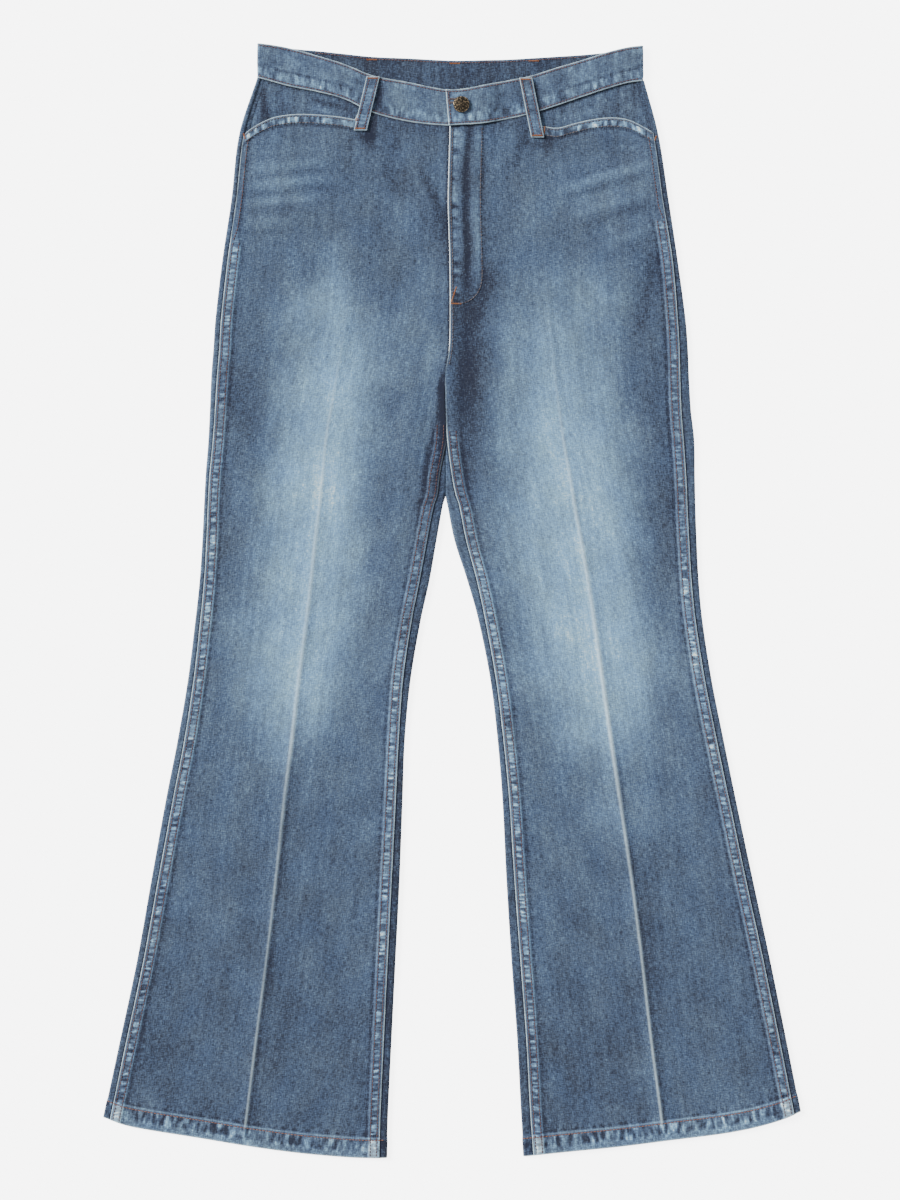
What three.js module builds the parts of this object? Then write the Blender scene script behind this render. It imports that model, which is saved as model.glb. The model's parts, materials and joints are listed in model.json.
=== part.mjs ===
// Flared jeans laid flat, front side up, in millimetres.
// X runs to the wearer's left, Y towards the waist, Z up; the cloth lies on z = 0.
import * as THREE from 'three';
import { mergeVertices } from 'three/addons/utils/BufferGeometryUtils.js';

// Driving dimensions
const SEAM_GAP = 0.3;
const CLOTH = 1.2;
const HALF = CLOTH / 2;
const FELL_WIDTH = 11;
const FELL_RAISE = 0.8;
const HEM_DEPTH = 19;
const HEM_RAISE = 1;
const MOUTH_DEPTH = 8;
const MOUTH_RAISE = 0.6;
const FLY_WIDTH = 33;
const FLY_END_Y = 298;
const FLY_RAISE = 0.9;
const STEP = 0.8;
const EDGE_STEP = 0.8;
const CREASE_OUTER = 6;
const CREASE_INNER = 8;
const CREASE_HEIGHT = 1.6;

// Heights of the middle of the cloth above the surface it lies on
const BACK_LEVEL = 0.6;
const BACK_LEVEL_AT_WAIST = 2.1;
const LEG_LEVEL = 3.9;
const HIP_LEVEL = 4.2;
const FRONT_LEVEL_AT_WAIST = 4.9;

// Waistband
const BAND_HALF = 1.1;
const BAND_BACK_LEVEL = 2.7;
const BAND_FRONT_LEVEL = 5.4;
const BAND_OVER_LEVEL = 7.9;
const BAND_OVER_END_TOP = -6;
const BAND_OVER_END_LOW = -3;
const BAND_OVER_FLAT = 32;
const BAND_OVER_DOWN = 54;
const BAND_UNDER_END = 28;
const LEAST_STEP = 2;

// Belt loops and button
const LOOP_WIDTH = 12.5;
const LOOP_HALF = 0.75;
const BACK_LOOP_HALF = 0.6;
const LOOP_BELOW_BAND = 19;
const BUTTON_RADIUS = 8;
const BUTTON_HEIGHT = 3;
const BUTTON_X = 9.4;
const BUTTON_Y = 495.4;

// Each leg from the waist seam to the hem. outer and inner are the folded edges of the laid leg;
// outseam and inseam are how far each sewn seam lies in from its edge; crease is the pressed line.
const LEG_COLUMNS = ['y', 'outer', 'outseam', 'crease', 'inseam', 'inner'];
const LEG_RIGHT = [
  [522.8, -195, 3.5, -98, 0, -2.1],
  [466.8, -213, 5, -98, 0, -2.4],
  [400.8, -221, 5.2, -99, 0, -4],
  [340.8, -230, 5.8, -101, 0, -2.4],
  [280.8, -237, 6.2, -106, 0, -2],
  [250.8, -239, 6.4, -111.5, 0, -3],
  [225.8, -241, 6.3, -116, 0, -7.2],
  [190.8, -242.5, 5.6, -122, 0, -6.7],
  [160.8, -244, 5, -127, 0.5, -6.6],
  [125.8, -246.7, 4.4, -130.5, 6.5, -7],
  [95.8, -248.3, 4.3, -133.5, 9, -8.7],
  [60.8, -250, 4.6, -137.6, 9.6, -15],
  [20.8, -252.7, 5, -141.7, 10, -22],
  [-19.2, -257, 5.5, -146.3, 9.2, -30.8],
  [-79.2, -264.5, 6.2, -154.2, 7.8, -41],
  [-139.2, -274.7, 7.2, -161, 6.3, -46.8],
  [-199.2, -286.5, 7.5, -168.5, 7, -49],
  [-279.2, -301, 7.2, -177, 8.1, -52],
  [-359.2, -315.2, 6.9, -186.4, 8.1, -56],
  [-439.2, -332.2, 6.9, -196.8, 8, -60],
  [-509.2, -347.2, 7.3, -205.5, 7.8, -63.4],
  [-557.2, -357.4, 7.6, -211.5, 7.6, -65],
];
const LEG_LEFT = [
  [522.8, 191.5, 3.5, 91, 0, -2.1],
  [466.8, 206.5, 5, 91, 0, -2.4],
  [400.8, 217, 6, 93, 0, -4],
  [340.8, 226, 5.4, 95, 0, -2.4],
  [280.8, 234, 8.2, 97.5, 0, -2],
  [250.8, 236.3, 8.8, 100, 0, -3],
  [225.8, 237.3, 9.2, 102, 0, -6.8],
  [190.8, 239.3, 10, 106.5, 0.6, -5.9],
  [160.8, 242.6, 11, 110.5, 2.2, -5.8],
  [125.8, 243.2, 9.2, 116.5, 6.8, -5.6],
  [95.8, 243.8, 8.5, 121.5, 12, -5],
  [60.8, 245, 7.9, 128, 12, 2],
  [20.8, 247, 7.5, 134.8, 9.8, 14.8],
  [-19.2, 250.7, 7.2, 141, 7.2, 26],
  [-79.2, 260, 7.1, 149.5, 6, 38],
  [-139.2, 272, 7.3, 158, 6.2, 45.2],
  [-199.2, 284.3, 7.1, 167, 7.2, 50],
  [-279.2, 301.3, 7.3, 178.7, 8.4, 54],
  [-359.2, 318.5, 7.2, 189, 9.3, 59],
  [-439.2, 334.7, 7.1, 198.3, 9.5, 64.8],
  [-509.2, 348.5, 7.1, 207.5, 9.6, 68.5],
  [-557.2, 358, 7.1, 213, 10, 71.5],
];

// The waistband's edges, at each x
const WAIST_COLUMNS = ['x', 'frontTop', 'frontLow', 'backTop', 'backLow'];
const WAIST = [
  [-195, 557.2, 523.5, 557.2, 523.5],
  [-179, 555.1, 519.1, 554.5, 520.1],
  [-162, 551.8, 514.5, 552.1, 518],
  [-129, 542.8, 507.8, 549, 514.8],
  [-106, 535.5, 501.1, 546.5, 512.2],
  [-80, 525, 488.6, 543.8, 509.8],
  [-44, 518, 479.4, 542.2, 507.8],
  [-6, 510.6, 475.4, 540.2, 505.8],
  [12, 511.1, 476.1, 540, 505.4],
  [32, 515, 477.4, 540.5, 505.8],
  [55, 519.5, 481.8, 541, 506.8],
  [79, 524.4, 487.2, 542.4, 508.2],
  [105, 532.6, 495.4, 544, 509.8],
  [132, 540.5, 504.6, 545.8, 511.8],
  [155, 547.9, 512.2, 548.1, 513.8],
  [176, 553, 518.1, 552.1, 517.5],
  [191.5, 554.8, 520.2, 554.8, 520.2],
];

// The pocket mouths and the hems, as x and y along each edge
const EDGE_COLUMNS = ['x', 'y'];
const MOUTH_RIGHT = [[-213, 459], [-207, 466.8], [-194, 475.9], [-179, 482.8], [-161.5, 485.8],
  [-144, 486.2], [-115, 483.9], [-97.5, 480.9], [-88, 478.6]];
const MOUTH_LEFT = [[84, 474.5], [94.5, 473.6], [105.5, 472.4], [120, 476.2], [137.5, 480.4],
  [158, 482.8], [176, 480.8], [193.5, 472.4], [203.5, 466.2], [210, 460.5]];
const HEM_RIGHT = [[-357, -514.2], [-349, -516.2], [-327, -524.2], [-302, -529.2], [-252, -537.2],
  [-202, -545.5], [-152, -552.2], [-102, -556.5], [-77, -557.2], [-57, -556.7]];
const HEM_LEFT = [[60, -556.8], [72, -555.5], [118, -550.8], [168, -545.8], [218, -539.5],
  [268, -533.2], [298, -527.8], [323, -521.2], [338, -515.7], [349, -510.2], [360, -504.2]];

// Largest soft folds of the front, as ridges (height above 0) or troughs (below 0)
// Columns: x1, y1, x2, y2, halfWidth, height
const FOLDS = [
  [-45, 434, -12, 386, 11, 1.1],
  [-190, 420, -120, 392, 12, 0.8],
  [206, 340, 180, 256, 12, -1.2],
  [112, 414, 200, 442, 12, 0.9],
  [122, 384, 196, 408, 12, 0.8],
  [24, 220, 40, 60, 14, 0.9],
  [-40, 190, -60, 40, 14, 0.8],
];

// Nominal heights of the rows of points down a panel
const FRONT_ROWS = [480, 472.8, 471.2, 459, 446, 432, 412, 388, 360, 330, 300, 296, 272, 250, 234, 220,
  206, 192, 176, 160, 151, 142, 124, 96, 60, 20, -30, -85, -140, -200, -280, -360, -440, -500];
const BACK_ROWS = [510, 497, 484, 471, 459, 446, 432, 412, 388, 360, 330, 298, 272, 250, 234, 220,
  206, 192, 176, 160, 151, 142, 124, 96, 60, 20, -30, -85, -140, -200, -280, -360, -440, -500];
const FRONT_TOP = FRONT_ROWS[0];
const BACK_TOP = BACK_ROWS[0];
const HEM_LINE = -545;
const TOP_BLEND = 150;
const HEM_BLEND_START = -200;

// Where the two legs part from one another below the crotch
const PART_START_Y = 230;
const PART_END_Y = 194;

const clamp01 = (v) => Math.min(1, Math.max(0, v));
const mix = (a, b, w) => a + (b - a) * w;
const smooth = (from, to, v) => {
  const w = clamp01((v - from) / (to - from));
  return w * w * (3 - 2 * w);
};

// Reads one column of a table at a place, as a smooth curve through its rows
function curveOf(table, columns, column) {
  const rows = [...table].sort((a, b) => a[0] - b[0]);
  const key = rows.map((row) => row[0]);
  const val = rows.map((row) => row[columns.indexOf(column)]);
  const last = key.length - 1;
  const chord = (i) => (val[i + 1] - val[i]) / (key[i + 1] - key[i]);
  const slope = key.map((_, i) => {
    if (i === 0) return chord(0);
    if (i === last) return chord(last - 1);
    return (val[i + 1] - val[i - 1]) / (key[i + 1] - key[i - 1]);
  });
  return (at) => {
    if (at <= key[0]) return val[0] + slope[0] * (at - key[0]);
    if (at >= key[last]) return val[last] + slope[last] * (at - key[last]);
    let i = 0;
    while (at > key[i + 1]) i += 1;
    const span = key[i + 1] - key[i];
    const w = (at - key[i]) / span;
    const bend = w * w * (3 - 2 * w);
    const lean = slope[i] * (w - 2 * w * w + w ** 3) + slope[i + 1] * (w ** 3 - w * w);
    return mix(val[i], val[i + 1], bend) + span * lean;
  };
}

const waist = Object.fromEntries(WAIST_COLUMNS.slice(1).map(
  (column) => [column, curveOf(WAIST, WAIST_COLUMNS, column)],
));
const edgeCurve = (table) => curveOf(table, EDGE_COLUMNS, 'y');

// One leg of the garment: its curves, and toInner, the way along X from outseam to inseam
function legOf(table, mouth, hem) {
  const leg = Object.fromEntries(LEG_COLUMNS.slice(1).map(
    (column) => [column, curveOf(table, LEG_COLUMNS, column)],
  ));
  leg.toInner = Math.sign(table[0][5] - table[0][1]);
  leg.mouth = edgeCurve(mouth);
  leg.hem = edgeCurve(hem);
  leg.mouthEnd = table[0][3];
  return leg;
}

const legs = {
  right: legOf(LEG_RIGHT, MOUTH_RIGHT, HEM_RIGHT),
  left: legOf(LEG_LEFT, MOUTH_LEFT, HEM_LEFT),
};

const backLevel = (y) => mix(BACK_LEVEL, BACK_LEVEL_AT_WAIST, smooth(444, 480, y));
const frontLevel = (y) => {
  const body = mix(LEG_LEVEL, HIP_LEVEL, smooth(100, 260, y));
  return mix(body, FRONT_LEVEL_AT_WAIST, smooth(430, 474, y));
};

// The fold at one edge of a laid leg: a half circle that joins the front's level to the back's.
// open is 0 where the legs are still one and 1 where the fold is whole.
function foldAt(leg, y, side) {
  const high = frontLevel(y);
  const low = backLevel(y);
  const radius = (high - low) / 2;
  const isInner = side === 'inner';
  const open = isInner ? smooth(PART_START_Y, PART_END_Y, y) : 1;
  const inset = isInner ? leg.inseam(y) : leg.outseam(y);
  const seam = (Math.PI - 1) * radius - HALF + inset;
  const outward = isInner ? leg.toInner : -leg.toInner;
  const reach = (radius + HALF) * Math.sin(Math.min(Math.PI / 2, open * seam / radius));
  const edge = isInner ? leg.inner(y) - leg.toInner * 0.2 : leg.outer(y);
  const centre = edge - outward * reach;
  const whole = Math.PI * radius;
  // A point of the back's cloth, by its distance from where the flat bottom starts to turn
  const fromBottom = (s) => {
    if (s <= 0) return { x: centre + outward * s, z: low, nx: 0, nz: -1 };
    if (s >= whole) return { x: centre - outward * (s - whole), z: high, nx: 0, nz: 1 };
    const a = s / radius;
    return {
      x: centre + outward * radius * Math.sin(a),
      z: low + radius - radius * Math.cos(a),
      nx: outward * Math.sin(a),
      nz: -Math.cos(a),
    };
  };
  // A point of the front's cloth, by its distance down from the top of the turn
  const fromTop = (d) => fromBottom(whole - d);
  const backEnd = open * seam - SEAM_GAP / 2;
  const frontEnd = open * (whole - seam) - SEAM_GAP / 2;
  return { fromBottom, fromTop, backEnd, frontEnd, whole };
}

// Height of the front's folds and pressed crease at a point
function reliefAt(leg, x, y) {
  const creaseGrow = mix(0.25, 1, smooth(280, -140, y));
  const fromCrease = (x - leg.crease(y)) / CREASE_INNER;
  const creaseOn = 1 - smooth(300, 380, y);
  let height = CREASE_HEIGHT * creaseGrow * creaseOn * Math.exp(-2 * fromCrease * fromCrease);
  for (const [x1, y1, x2, y2, halfWidth, fold] of FOLDS) {
    const length = Math.hypot(x2 - x1, y2 - y1);
    const along = ((x - x1) * (x2 - x1) + (y - y1) * (y2 - y1)) / length;
    const across = ((x - x1) * (y2 - y1) - (y - y1) * (x2 - x1)) / length;
    const ends = smooth(-0.35, 0.3, along / length) * smooth(1.35, 0.7, along / length);
    height += fold * ends * Math.exp(-((across / halfWidth) ** 2));
  }
  return height;
}

// A closed wall of cloth through a grid of points; each has up and down, its half thicknesses
function wallGeometry(rows) {
  const columns = rows[0].length;
  const position = [];
  for (const side of [1, -1]) {
    for (const row of rows) {
      for (const p of row) {
        const reach = side > 0 ? p.up : -p.down;
        position.push(p.x + p.nx * reach, p.y, p.z + p.nz * reach);
      }
    }
  }
  const count = rows.length * columns;
  const at = (i, j, side) => side * count + i * columns + j;
  const index = [];
  const quad = (a, b, c, d) => index.push(a, b, c, a, c, d);
  for (let i = 0; i < rows.length - 1; i += 1) {
    for (let j = 0; j < columns - 1; j += 1) {
      quad(at(i, j, 0), at(i, j + 1, 0), at(i + 1, j + 1, 0), at(i + 1, j, 0));
      quad(at(i, j, 1), at(i + 1, j, 1), at(i + 1, j + 1, 1), at(i, j + 1, 1));
    }
    quad(at(i, 0, 0), at(i + 1, 0, 0), at(i + 1, 0, 1), at(i, 0, 1));
    quad(at(i, columns - 1, 0), at(i, columns - 1, 1), at(i + 1, columns - 1, 1), at(i + 1, columns - 1, 0));
  }
  const end = rows.length - 1;
  for (let j = 0; j < columns - 1; j += 1) {
    quad(at(0, j, 0), at(0, j, 1), at(0, j + 1, 1), at(0, j + 1, 0));
    quad(at(end, j, 0), at(end, j + 1, 0), at(end, j + 1, 1), at(end, j, 1));
  }
  const geometry = new THREE.BufferGeometry();
  geometry.setAttribute('position', new THREE.Float32BufferAttribute(position, 3));
  geometry.setIndex(index);
  return facingOut(geometry);
}

// Turns a closed mesh so that its faces point outwards
function facingOut(geometry) {
  const p = geometry.getAttribute('position');
  const index = geometry.getIndex().array;
  const corner = [new THREE.Vector3(), new THREE.Vector3(), new THREE.Vector3()];
  let volume = 0;
  for (let i = 0; i < index.length; i += 3) {
    corner.forEach((v, k) => v.fromBufferAttribute(p, index[i + k]));
    volume += corner[0].dot(corner[1].clone().cross(corner[2]));
  }
  if (volume < 0) {
    const turned = Array.from(index);
    for (let i = 0; i < turned.length; i += 3) {
      [turned[i + 1], turned[i + 2]] = [turned[i + 2], turned[i + 1]];
    }
    geometry.setIndex(turned);
  }
  geometry.computeVertexNormals();
  return geometry;
}

// The height of a row of points in one column: level in the middle of the panel, and bent to
// the panel's top edge and hem at its ends
function rowHeight(nominal, xAt, nominalTop, topEdge, hemEdge, aboveHem) {
  let y = nominal;
  for (let pass = 0; pass < 6; pass += 1) {
    const x = xAt(y);
    if (aboveHem !== undefined) {
      y = hemEdge(x) + aboveHem;
    } else {
      const nearTop = 1 - smooth(0, TOP_BLEND, nominalTop - nominal);
      const nearHem = smooth(HEM_BLEND_START, HEM_LINE, nominal);
      y = nominal + nearTop * (topEdge(x) - nominalTop) + nearHem * (hemEdge(x) - HEM_LINE);
    }
  }
  return y;
}

// Rows end in the step of the hem band and the hem itself
const hemRows = [HEM_DEPTH + STEP, HEM_DEPTH - STEP, 0];
function panelRows(nominals, makeRow) {
  const body = nominals.map((nominal) => makeRow(nominal));
  return [...body, ...hemRows.map((aboveHem) => makeRow(HEM_LINE + aboveHem, aboveHem))];
}

// Front panel
function frontPanel(leg, hasFly) {
  const to = leg.toInner;
  const seamX = (y) => leg.outer(y) + to * (leg.outseam(y) + SEAM_GAP / 2);
  const bandWidth = (y) => mix(FELL_WIDTH, FLY_WIDTH, smooth(200, 290, y));
  const innerX = (y) => leg.inner(y) - to * (leg.inseam(y) + 2);
  const creaseX = (y, shift) => leg.crease(y) + to * shift;
  const between = (a, b, w) => (y) => mix(a(y), b(y), w);
  const outBand = (step) => (y) => seamX(y) + to * (FELL_WIDTH + step);
  const inBand = (step) => (y) => innerX(y) - to * (bandWidth(y) + step);
  const creaseOuter = (y) => creaseX(y, -CREASE_OUTER);
  const creaseInner = (y) => creaseX(y, CREASE_INNER);
  const flat = [
    { x: seamX, band: 'out' },
    { x: outBand(-STEP), band: 'out' },
    { x: outBand(STEP) },
    ...[0.25, 0.5, 0.75].map((w) => ({ x: between(outBand(STEP), creaseOuter, w) })),
    { x: creaseOuter },
    { x: (y) => leg.crease(y) },
    { x: creaseInner, pastMouth: true },
    ...[0.25, 0.5, 0.75].map((w) => ({ x: between(creaseInner, inBand(STEP), w), pastMouth: true })),
    { x: inBand(STEP), pastMouth: true },
    { x: inBand(-STEP), band: 'in', pastMouth: true },
  ];
  const atEdge = [3, 2, 1, 0].map((steps) => ({ steps, band: 'in', pastMouth: true }));
  const topEdge = (pastMouth) => (x) => (pastMouth ? waist.frontLow(x) - SEAM_GAP : leg.mouth(x));
  const raiseAt = (column, y, topGap, aboveHem) => {
    let raise = 0;
    if (column.band === 'out') raise = FELL_RAISE * smooth(466, 380, y);
    if (column.band === 'in') {
      const fell = FELL_RAISE * smooth(190, 150, y);
      const fly = hasFly && y > FLY_END_Y ? FLY_RAISE : 0;
      raise = Math.max(fell, fly);
    }
    if (!column.pastMouth && topGap < MOUTH_DEPTH) raise = MOUTH_RAISE;
    if (aboveHem !== undefined && aboveHem < HEM_DEPTH) raise = Math.max(raise, HEM_RAISE);
    return raise;
  };
  return panelRows(FRONT_ROWS, (nominal, aboveHem) => [...flat, ...atEdge].map((column) => {
    const xAt = column.x ?? ((y) => foldAt(leg, y, 'inner').fromTop(
      foldAt(leg, y, 'inner').frontEnd - column.steps * EDGE_STEP,
    ).x);
    const y = rowHeight(nominal, xAt, FRONT_TOP, topEdge(column.pastMouth), leg.hem, aboveHem);
    const up = HALF + raiseAt(column, y, FRONT_TOP - nominal, aboveHem);
    if (column.x) {
      const x = column.x(y);
      const edgeCalm = column.band === 'out' ? 0 : 1;
      const z = frontLevel(y) + edgeCalm * reliefAt(leg, x, y);
      return { x, y, z, nx: 0, nz: 1, up, down: HALF };
    }
    const fold = foldAt(leg, y, 'inner');
    return { ...fold.fromTop(fold.frontEnd - column.steps * EDGE_STEP), y, up, down: HALF };
  }));
}

// Back panel, from its lip on the outseam round under the leg to its lip on the inseam
function backPanel(leg) {
  const ARC_PARTS = 5;
  const lipStep = 0.4;
  const outerLip = [
    { side: 'outer', s: (fold) => fold.whole + Math.max(lipStep, fold.backEnd - fold.whole) },
    ...[5, 4, 3, 2, 1, 0].map((part) => ({ side: 'outer', s: (fold) => fold.whole * part / ARC_PARTS })),
  ];
  const arcEnd = (fold) => Math.min(fold.whole, fold.backEnd - lipStep);
  const innerLip = [
    ...[0, 1, 2, 3, 4, 5].map((part) => ({
      side: 'inner',
      s: (fold) => arcEnd(fold) - (ARC_PARTS - part) * Math.max(lipStep, arcEnd(fold) / ARC_PARTS),
    })),
    { side: 'inner', s: (fold) => fold.backEnd },
  ];
  const point = (column, y) => {
    const fold = foldAt(leg, y, column.side);
    return fold.fromBottom(column.s(fold));
  };
  const bottom = [0.2, 0.4, 0.6, 0.8].map((w) => ({ w }));
  const firstIn = outerLip[outerLip.length - 1];
  const lastIn = innerLip[0];
  return panelRows(BACK_ROWS, (nominal, aboveHem) => [...outerLip, ...bottom, ...innerLip].map((column) => {
    const place = (y) => (column.side
      ? point(column, y)
      : { x: mix(point(firstIn, y).x, point(lastIn, y).x, column.w), z: backLevel(y), nx: 0, nz: -1 });
    const topEdge = (x) => waist.backLow(x) - SEAM_GAP;
    const y = rowHeight(nominal, (at) => place(at).x, BACK_TOP, topEdge, leg.hem, aboveHem);
    return { ...place(y), y, up: HALF, down: HALF };
  }));
}

// Pocket facing: shows above the pocket mouth and runs on under the front and the waistband
function pocketFacing(leg) {
  const to = leg.toInner;
  const HIDDEN = 7;
  const CLEAR = 0.5;
  const INNER_END = 12;
  const half = 0.5;
  const below = 1.4;
  const across = [0, 0.12, 0.28, 0.46, 0.64, 0.82, 1];
  const down = [0, 0.2, 0.45, 0.7, 0.85, 1];
  return down.map((v) => across.map((u) => {
    const endX = leg.mouthEnd + to * INNER_END;
    let y = FRONT_TOP;
    let x = 0;
    for (let pass = 0; pass < 6; pass += 1) {
      x = mix(leg.outer(y) + to * (leg.outseam(y) + SEAM_GAP / 2), endX, u);
      const tuck = Math.min(waist.frontLow(x) + HIDDEN / 2, waist.backLow(x) - CLEAR);
      y = mix(tuck, leg.mouth(x) - HIDDEN, v);
    }
    return { x, y, z: frontLevel(y) - below, nx: 0, nz: 1, up: half, down: half };
  }));
}

// Waistband: one ring with its end lapped over the other, from the over end to the under end.
// Its stations stand where the panels' top edges have their points, so that the seams stay even.
function waistband(tops) {
  const edgeX = { left: WAIST[WAIST.length - 1][0], right: WAIST[0][0] };
  const radius = (BAND_FRONT_LEVEL - BAND_BACK_LEVEL) / 2;
  const reach = radius + BAND_HALF;
  const turnLeft = edgeX.left - reach;
  const turnRight = edgeX.right + reach;
  const stations = [];
  const flat = (x, z, front) => stations.push({ x, z, nx: 0, nz: front ? 1 : -1, front });
  const between = (list, from, to) => {
    const inside = list.filter((x) => x > Math.min(from, to) && x < Math.max(from, to));
    const sorted = [from, ...inside.sort((a, b) => Math.sign(to - from) * (a - b)), to];
    return sorted.filter((x, i) => i === 0 || i === sorted.length - 1
      || (Math.abs(x - sorted[i - 1]) >= LEAST_STEP && Math.abs(x - to) >= LEAST_STEP));
  };
  const overLevel = (x) => mix(BAND_OVER_LEVEL, BAND_FRONT_LEVEL, smooth(BAND_OVER_FLAT, BAND_OVER_DOWN, x));
  const overSteps = [0.25, 0.5, 0.75, 1].map((w) => mix(BAND_OVER_FLAT, BAND_OVER_DOWN, w));
  const turn = (centre, outward, fromTop) => {
    for (const part of [1, 2, 3, 4, 5]) {
      const a = fromTop ? Math.PI - part * Math.PI / 6 : part * Math.PI / 6;
      stations.push({
        x: centre + outward * radius * Math.sin(a),
        z: BAND_BACK_LEVEL + radius - radius * Math.cos(a),
        nx: outward * Math.sin(a),
        nz: -Math.cos(a),
        front: a > Math.PI / 2,
      });
    }
  };
  const front = [...tops.front, ...overSteps];
  between(front, BAND_OVER_END_LOW, turnLeft).forEach((x) => flat(x, overLevel(x), true));
  turn(turnLeft, 1, true);
  between(tops.back, turnLeft, turnRight).forEach((x) => flat(x, BAND_BACK_LEVEL, false));
  turn(turnRight, -1, false);
  between(tops.front, turnRight, BAND_UNDER_END).forEach((x) => flat(x, BAND_FRONT_LEVEL, true));
  return stations.map(({ front: onFront, ...place }, i) => [0, 0.5, 1].map((w) => {
    const lean = i === 0 ? mix(BAND_OVER_END_TOP, BAND_OVER_END_LOW, w) - BAND_OVER_END_LOW : 0;
    const x = place.x + lean;
    const top = onFront ? waist.frontTop(x) : waist.backTop(x);
    const low = onFront ? waist.frontLow(x) : waist.backLow(x);
    return { ...place, x, y: mix(top, low, w), up: BAND_HALF, down: BAND_HALF };
  }));
}

// Belt loop: a strip from the waistband's top edge to below its seam
function beltLoop(top, foot, levels, half) {
  const across = [-0.5, 0.5];
  return levels.map(([w, z]) => across.map((side) => ({
    x: mix(top.x, foot.x, w) + side * LOOP_WIDTH,
    y: mix(top.y, foot.y, w),
    z,
    nx: 0,
    nz: 1,
    up: half,
    down: half,
  })));
}

const FRONT_LOOP_HIGH = BAND_FRONT_LEVEL + BAND_HALF + SEAM_GAP + LOOP_HALF;
const FRONT_LOOP_LOW = FRONT_LEVEL_AT_WAIST + HALF + MOUTH_RAISE + SEAM_GAP + LOOP_HALF;
const FRONT_LOOP_LEVELS = [[0, FRONT_LOOP_HIGH], [0.1, FRONT_LOOP_HIGH + 0.3],
  [0.58, FRONT_LOOP_HIGH + 0.3], [0.72, FRONT_LOOP_HIGH], [0.86, FRONT_LOOP_LOW + 0.1], [1, FRONT_LOOP_LOW]];
const BACK_LOOP_LEVELS = [[0, BACK_LOOP_HALF], [0.5, BACK_LOOP_HALF], [1, BACK_LOOP_HALF]];
const FRONT_LOOPS = {
  right: { top: { x: -78.7, y: 523.5 }, foot: { x: -91.5, y: 470 } },
  left: { top: { x: 73.7, y: 522.3 }, foot: { x: 85.6, y: 463 } },
};
const BACK_LOOPS = { right: -80, centre: 3, left: 82 };

// Tack button: a low disc with a raised rim
function buttonGeometry() {
  const profile = [[0, 0], [0.8, 0], [1, 0.3], [1, 0.66], [0.93, 0.9], [0.84, 0.94], [0.76, 0.8], [0, 0.86]]
    .map(([r, h]) => new THREE.Vector2(r * BUTTON_RADIUS, h * BUTTON_HEIGHT));
  const lathe = new THREE.LatheGeometry(profile, 24);
  lathe.deleteAttribute('normal');
  lathe.deleteAttribute('uv');
  lathe.rotateX(Math.PI / 2);
  const merged = mergeVertices(lathe, 1e-4);
  const index = merged.getIndex().array;
  const kept = [];
  for (let i = 0; i < index.length; i += 3) {
    const [a, b, c] = [index[i], index[i + 1], index[i + 2]];
    if (a !== b && b !== c && c !== a) kept.push(a, b, c);
  }
  merged.setIndex(kept);
  return facingOut(merged);
}

// Materials
const denim = (color) => new THREE.MeshStandardMaterial({ color, roughness: 0.92, metalness: 0 });
const frontDenim = denim(0x7b98b5);
const backDenim = denim(0x6f8ba8);
const bandDenim = denim(0x74899f);
const facingDenim = denim(0x4f6680);
const metal = new THREE.MeshStandardMaterial({ color: 0xb9aa90, roughness: 0.38, metalness: 0.9 });

// Assembly
const group = new THREE.Group();
function add(name, geometry, material) {
  const mesh = new THREE.Mesh(geometry, material.clone());
  mesh.name = name;
  group.add(mesh);
  return mesh;
}

const tops = { front: [], back: [] };
for (const [side, leg] of Object.entries(legs)) {
  const front = frontPanel(leg, side === 'left');
  const back = backPanel(leg);
  const facing = pocketFacing(leg);
  tops.front.push(...front[0].map((p) => p.x));
  tops.back.push(...back[0].map((p) => p.x));
  add(`front_panel_${side}`, wallGeometry(front), frontDenim);
  add(`back_panel_${side}`, wallGeometry(back), backDenim);
  add(`pocket_facing_${side}`, wallGeometry(facing), facingDenim);
}
add('waistband', wallGeometry(waistband(tops)), bandDenim);
for (const [side, { top, foot }] of Object.entries(FRONT_LOOPS)) {
  add(`belt_loop_front_${side}`, wallGeometry(beltLoop(top, foot, FRONT_LOOP_LEVELS, LOOP_HALF)), bandDenim);
}
for (const [side, x] of Object.entries(BACK_LOOPS)) {
  const top = { x, y: waist.backTop(x) - 1 };
  const foot = { x, y: waist.backLow(x) - LOOP_BELOW_BAND };
  add(`belt_loop_back_${side}`, wallGeometry(beltLoop(top, foot, BACK_LOOP_LEVELS, BACK_LOOP_HALF)), bandDenim);
}
const button = add('waist_button', buttonGeometry(), metal);
button.position.set(BUTTON_X, BUTTON_Y, BAND_OVER_LEVEL + BAND_HALF + SEAM_GAP);

export default group;
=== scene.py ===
"""Flared jeans laid flat with the front side up.

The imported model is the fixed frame, in metres. The tables and levels below are in millimetres and
repeat the cut of the solids, so that every cloth piece is a thin shell on its solid's form.
"""
import json
import math

import bpy
import numpy as np
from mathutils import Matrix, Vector
from mathutils.bvhtree import BVHTree

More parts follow.
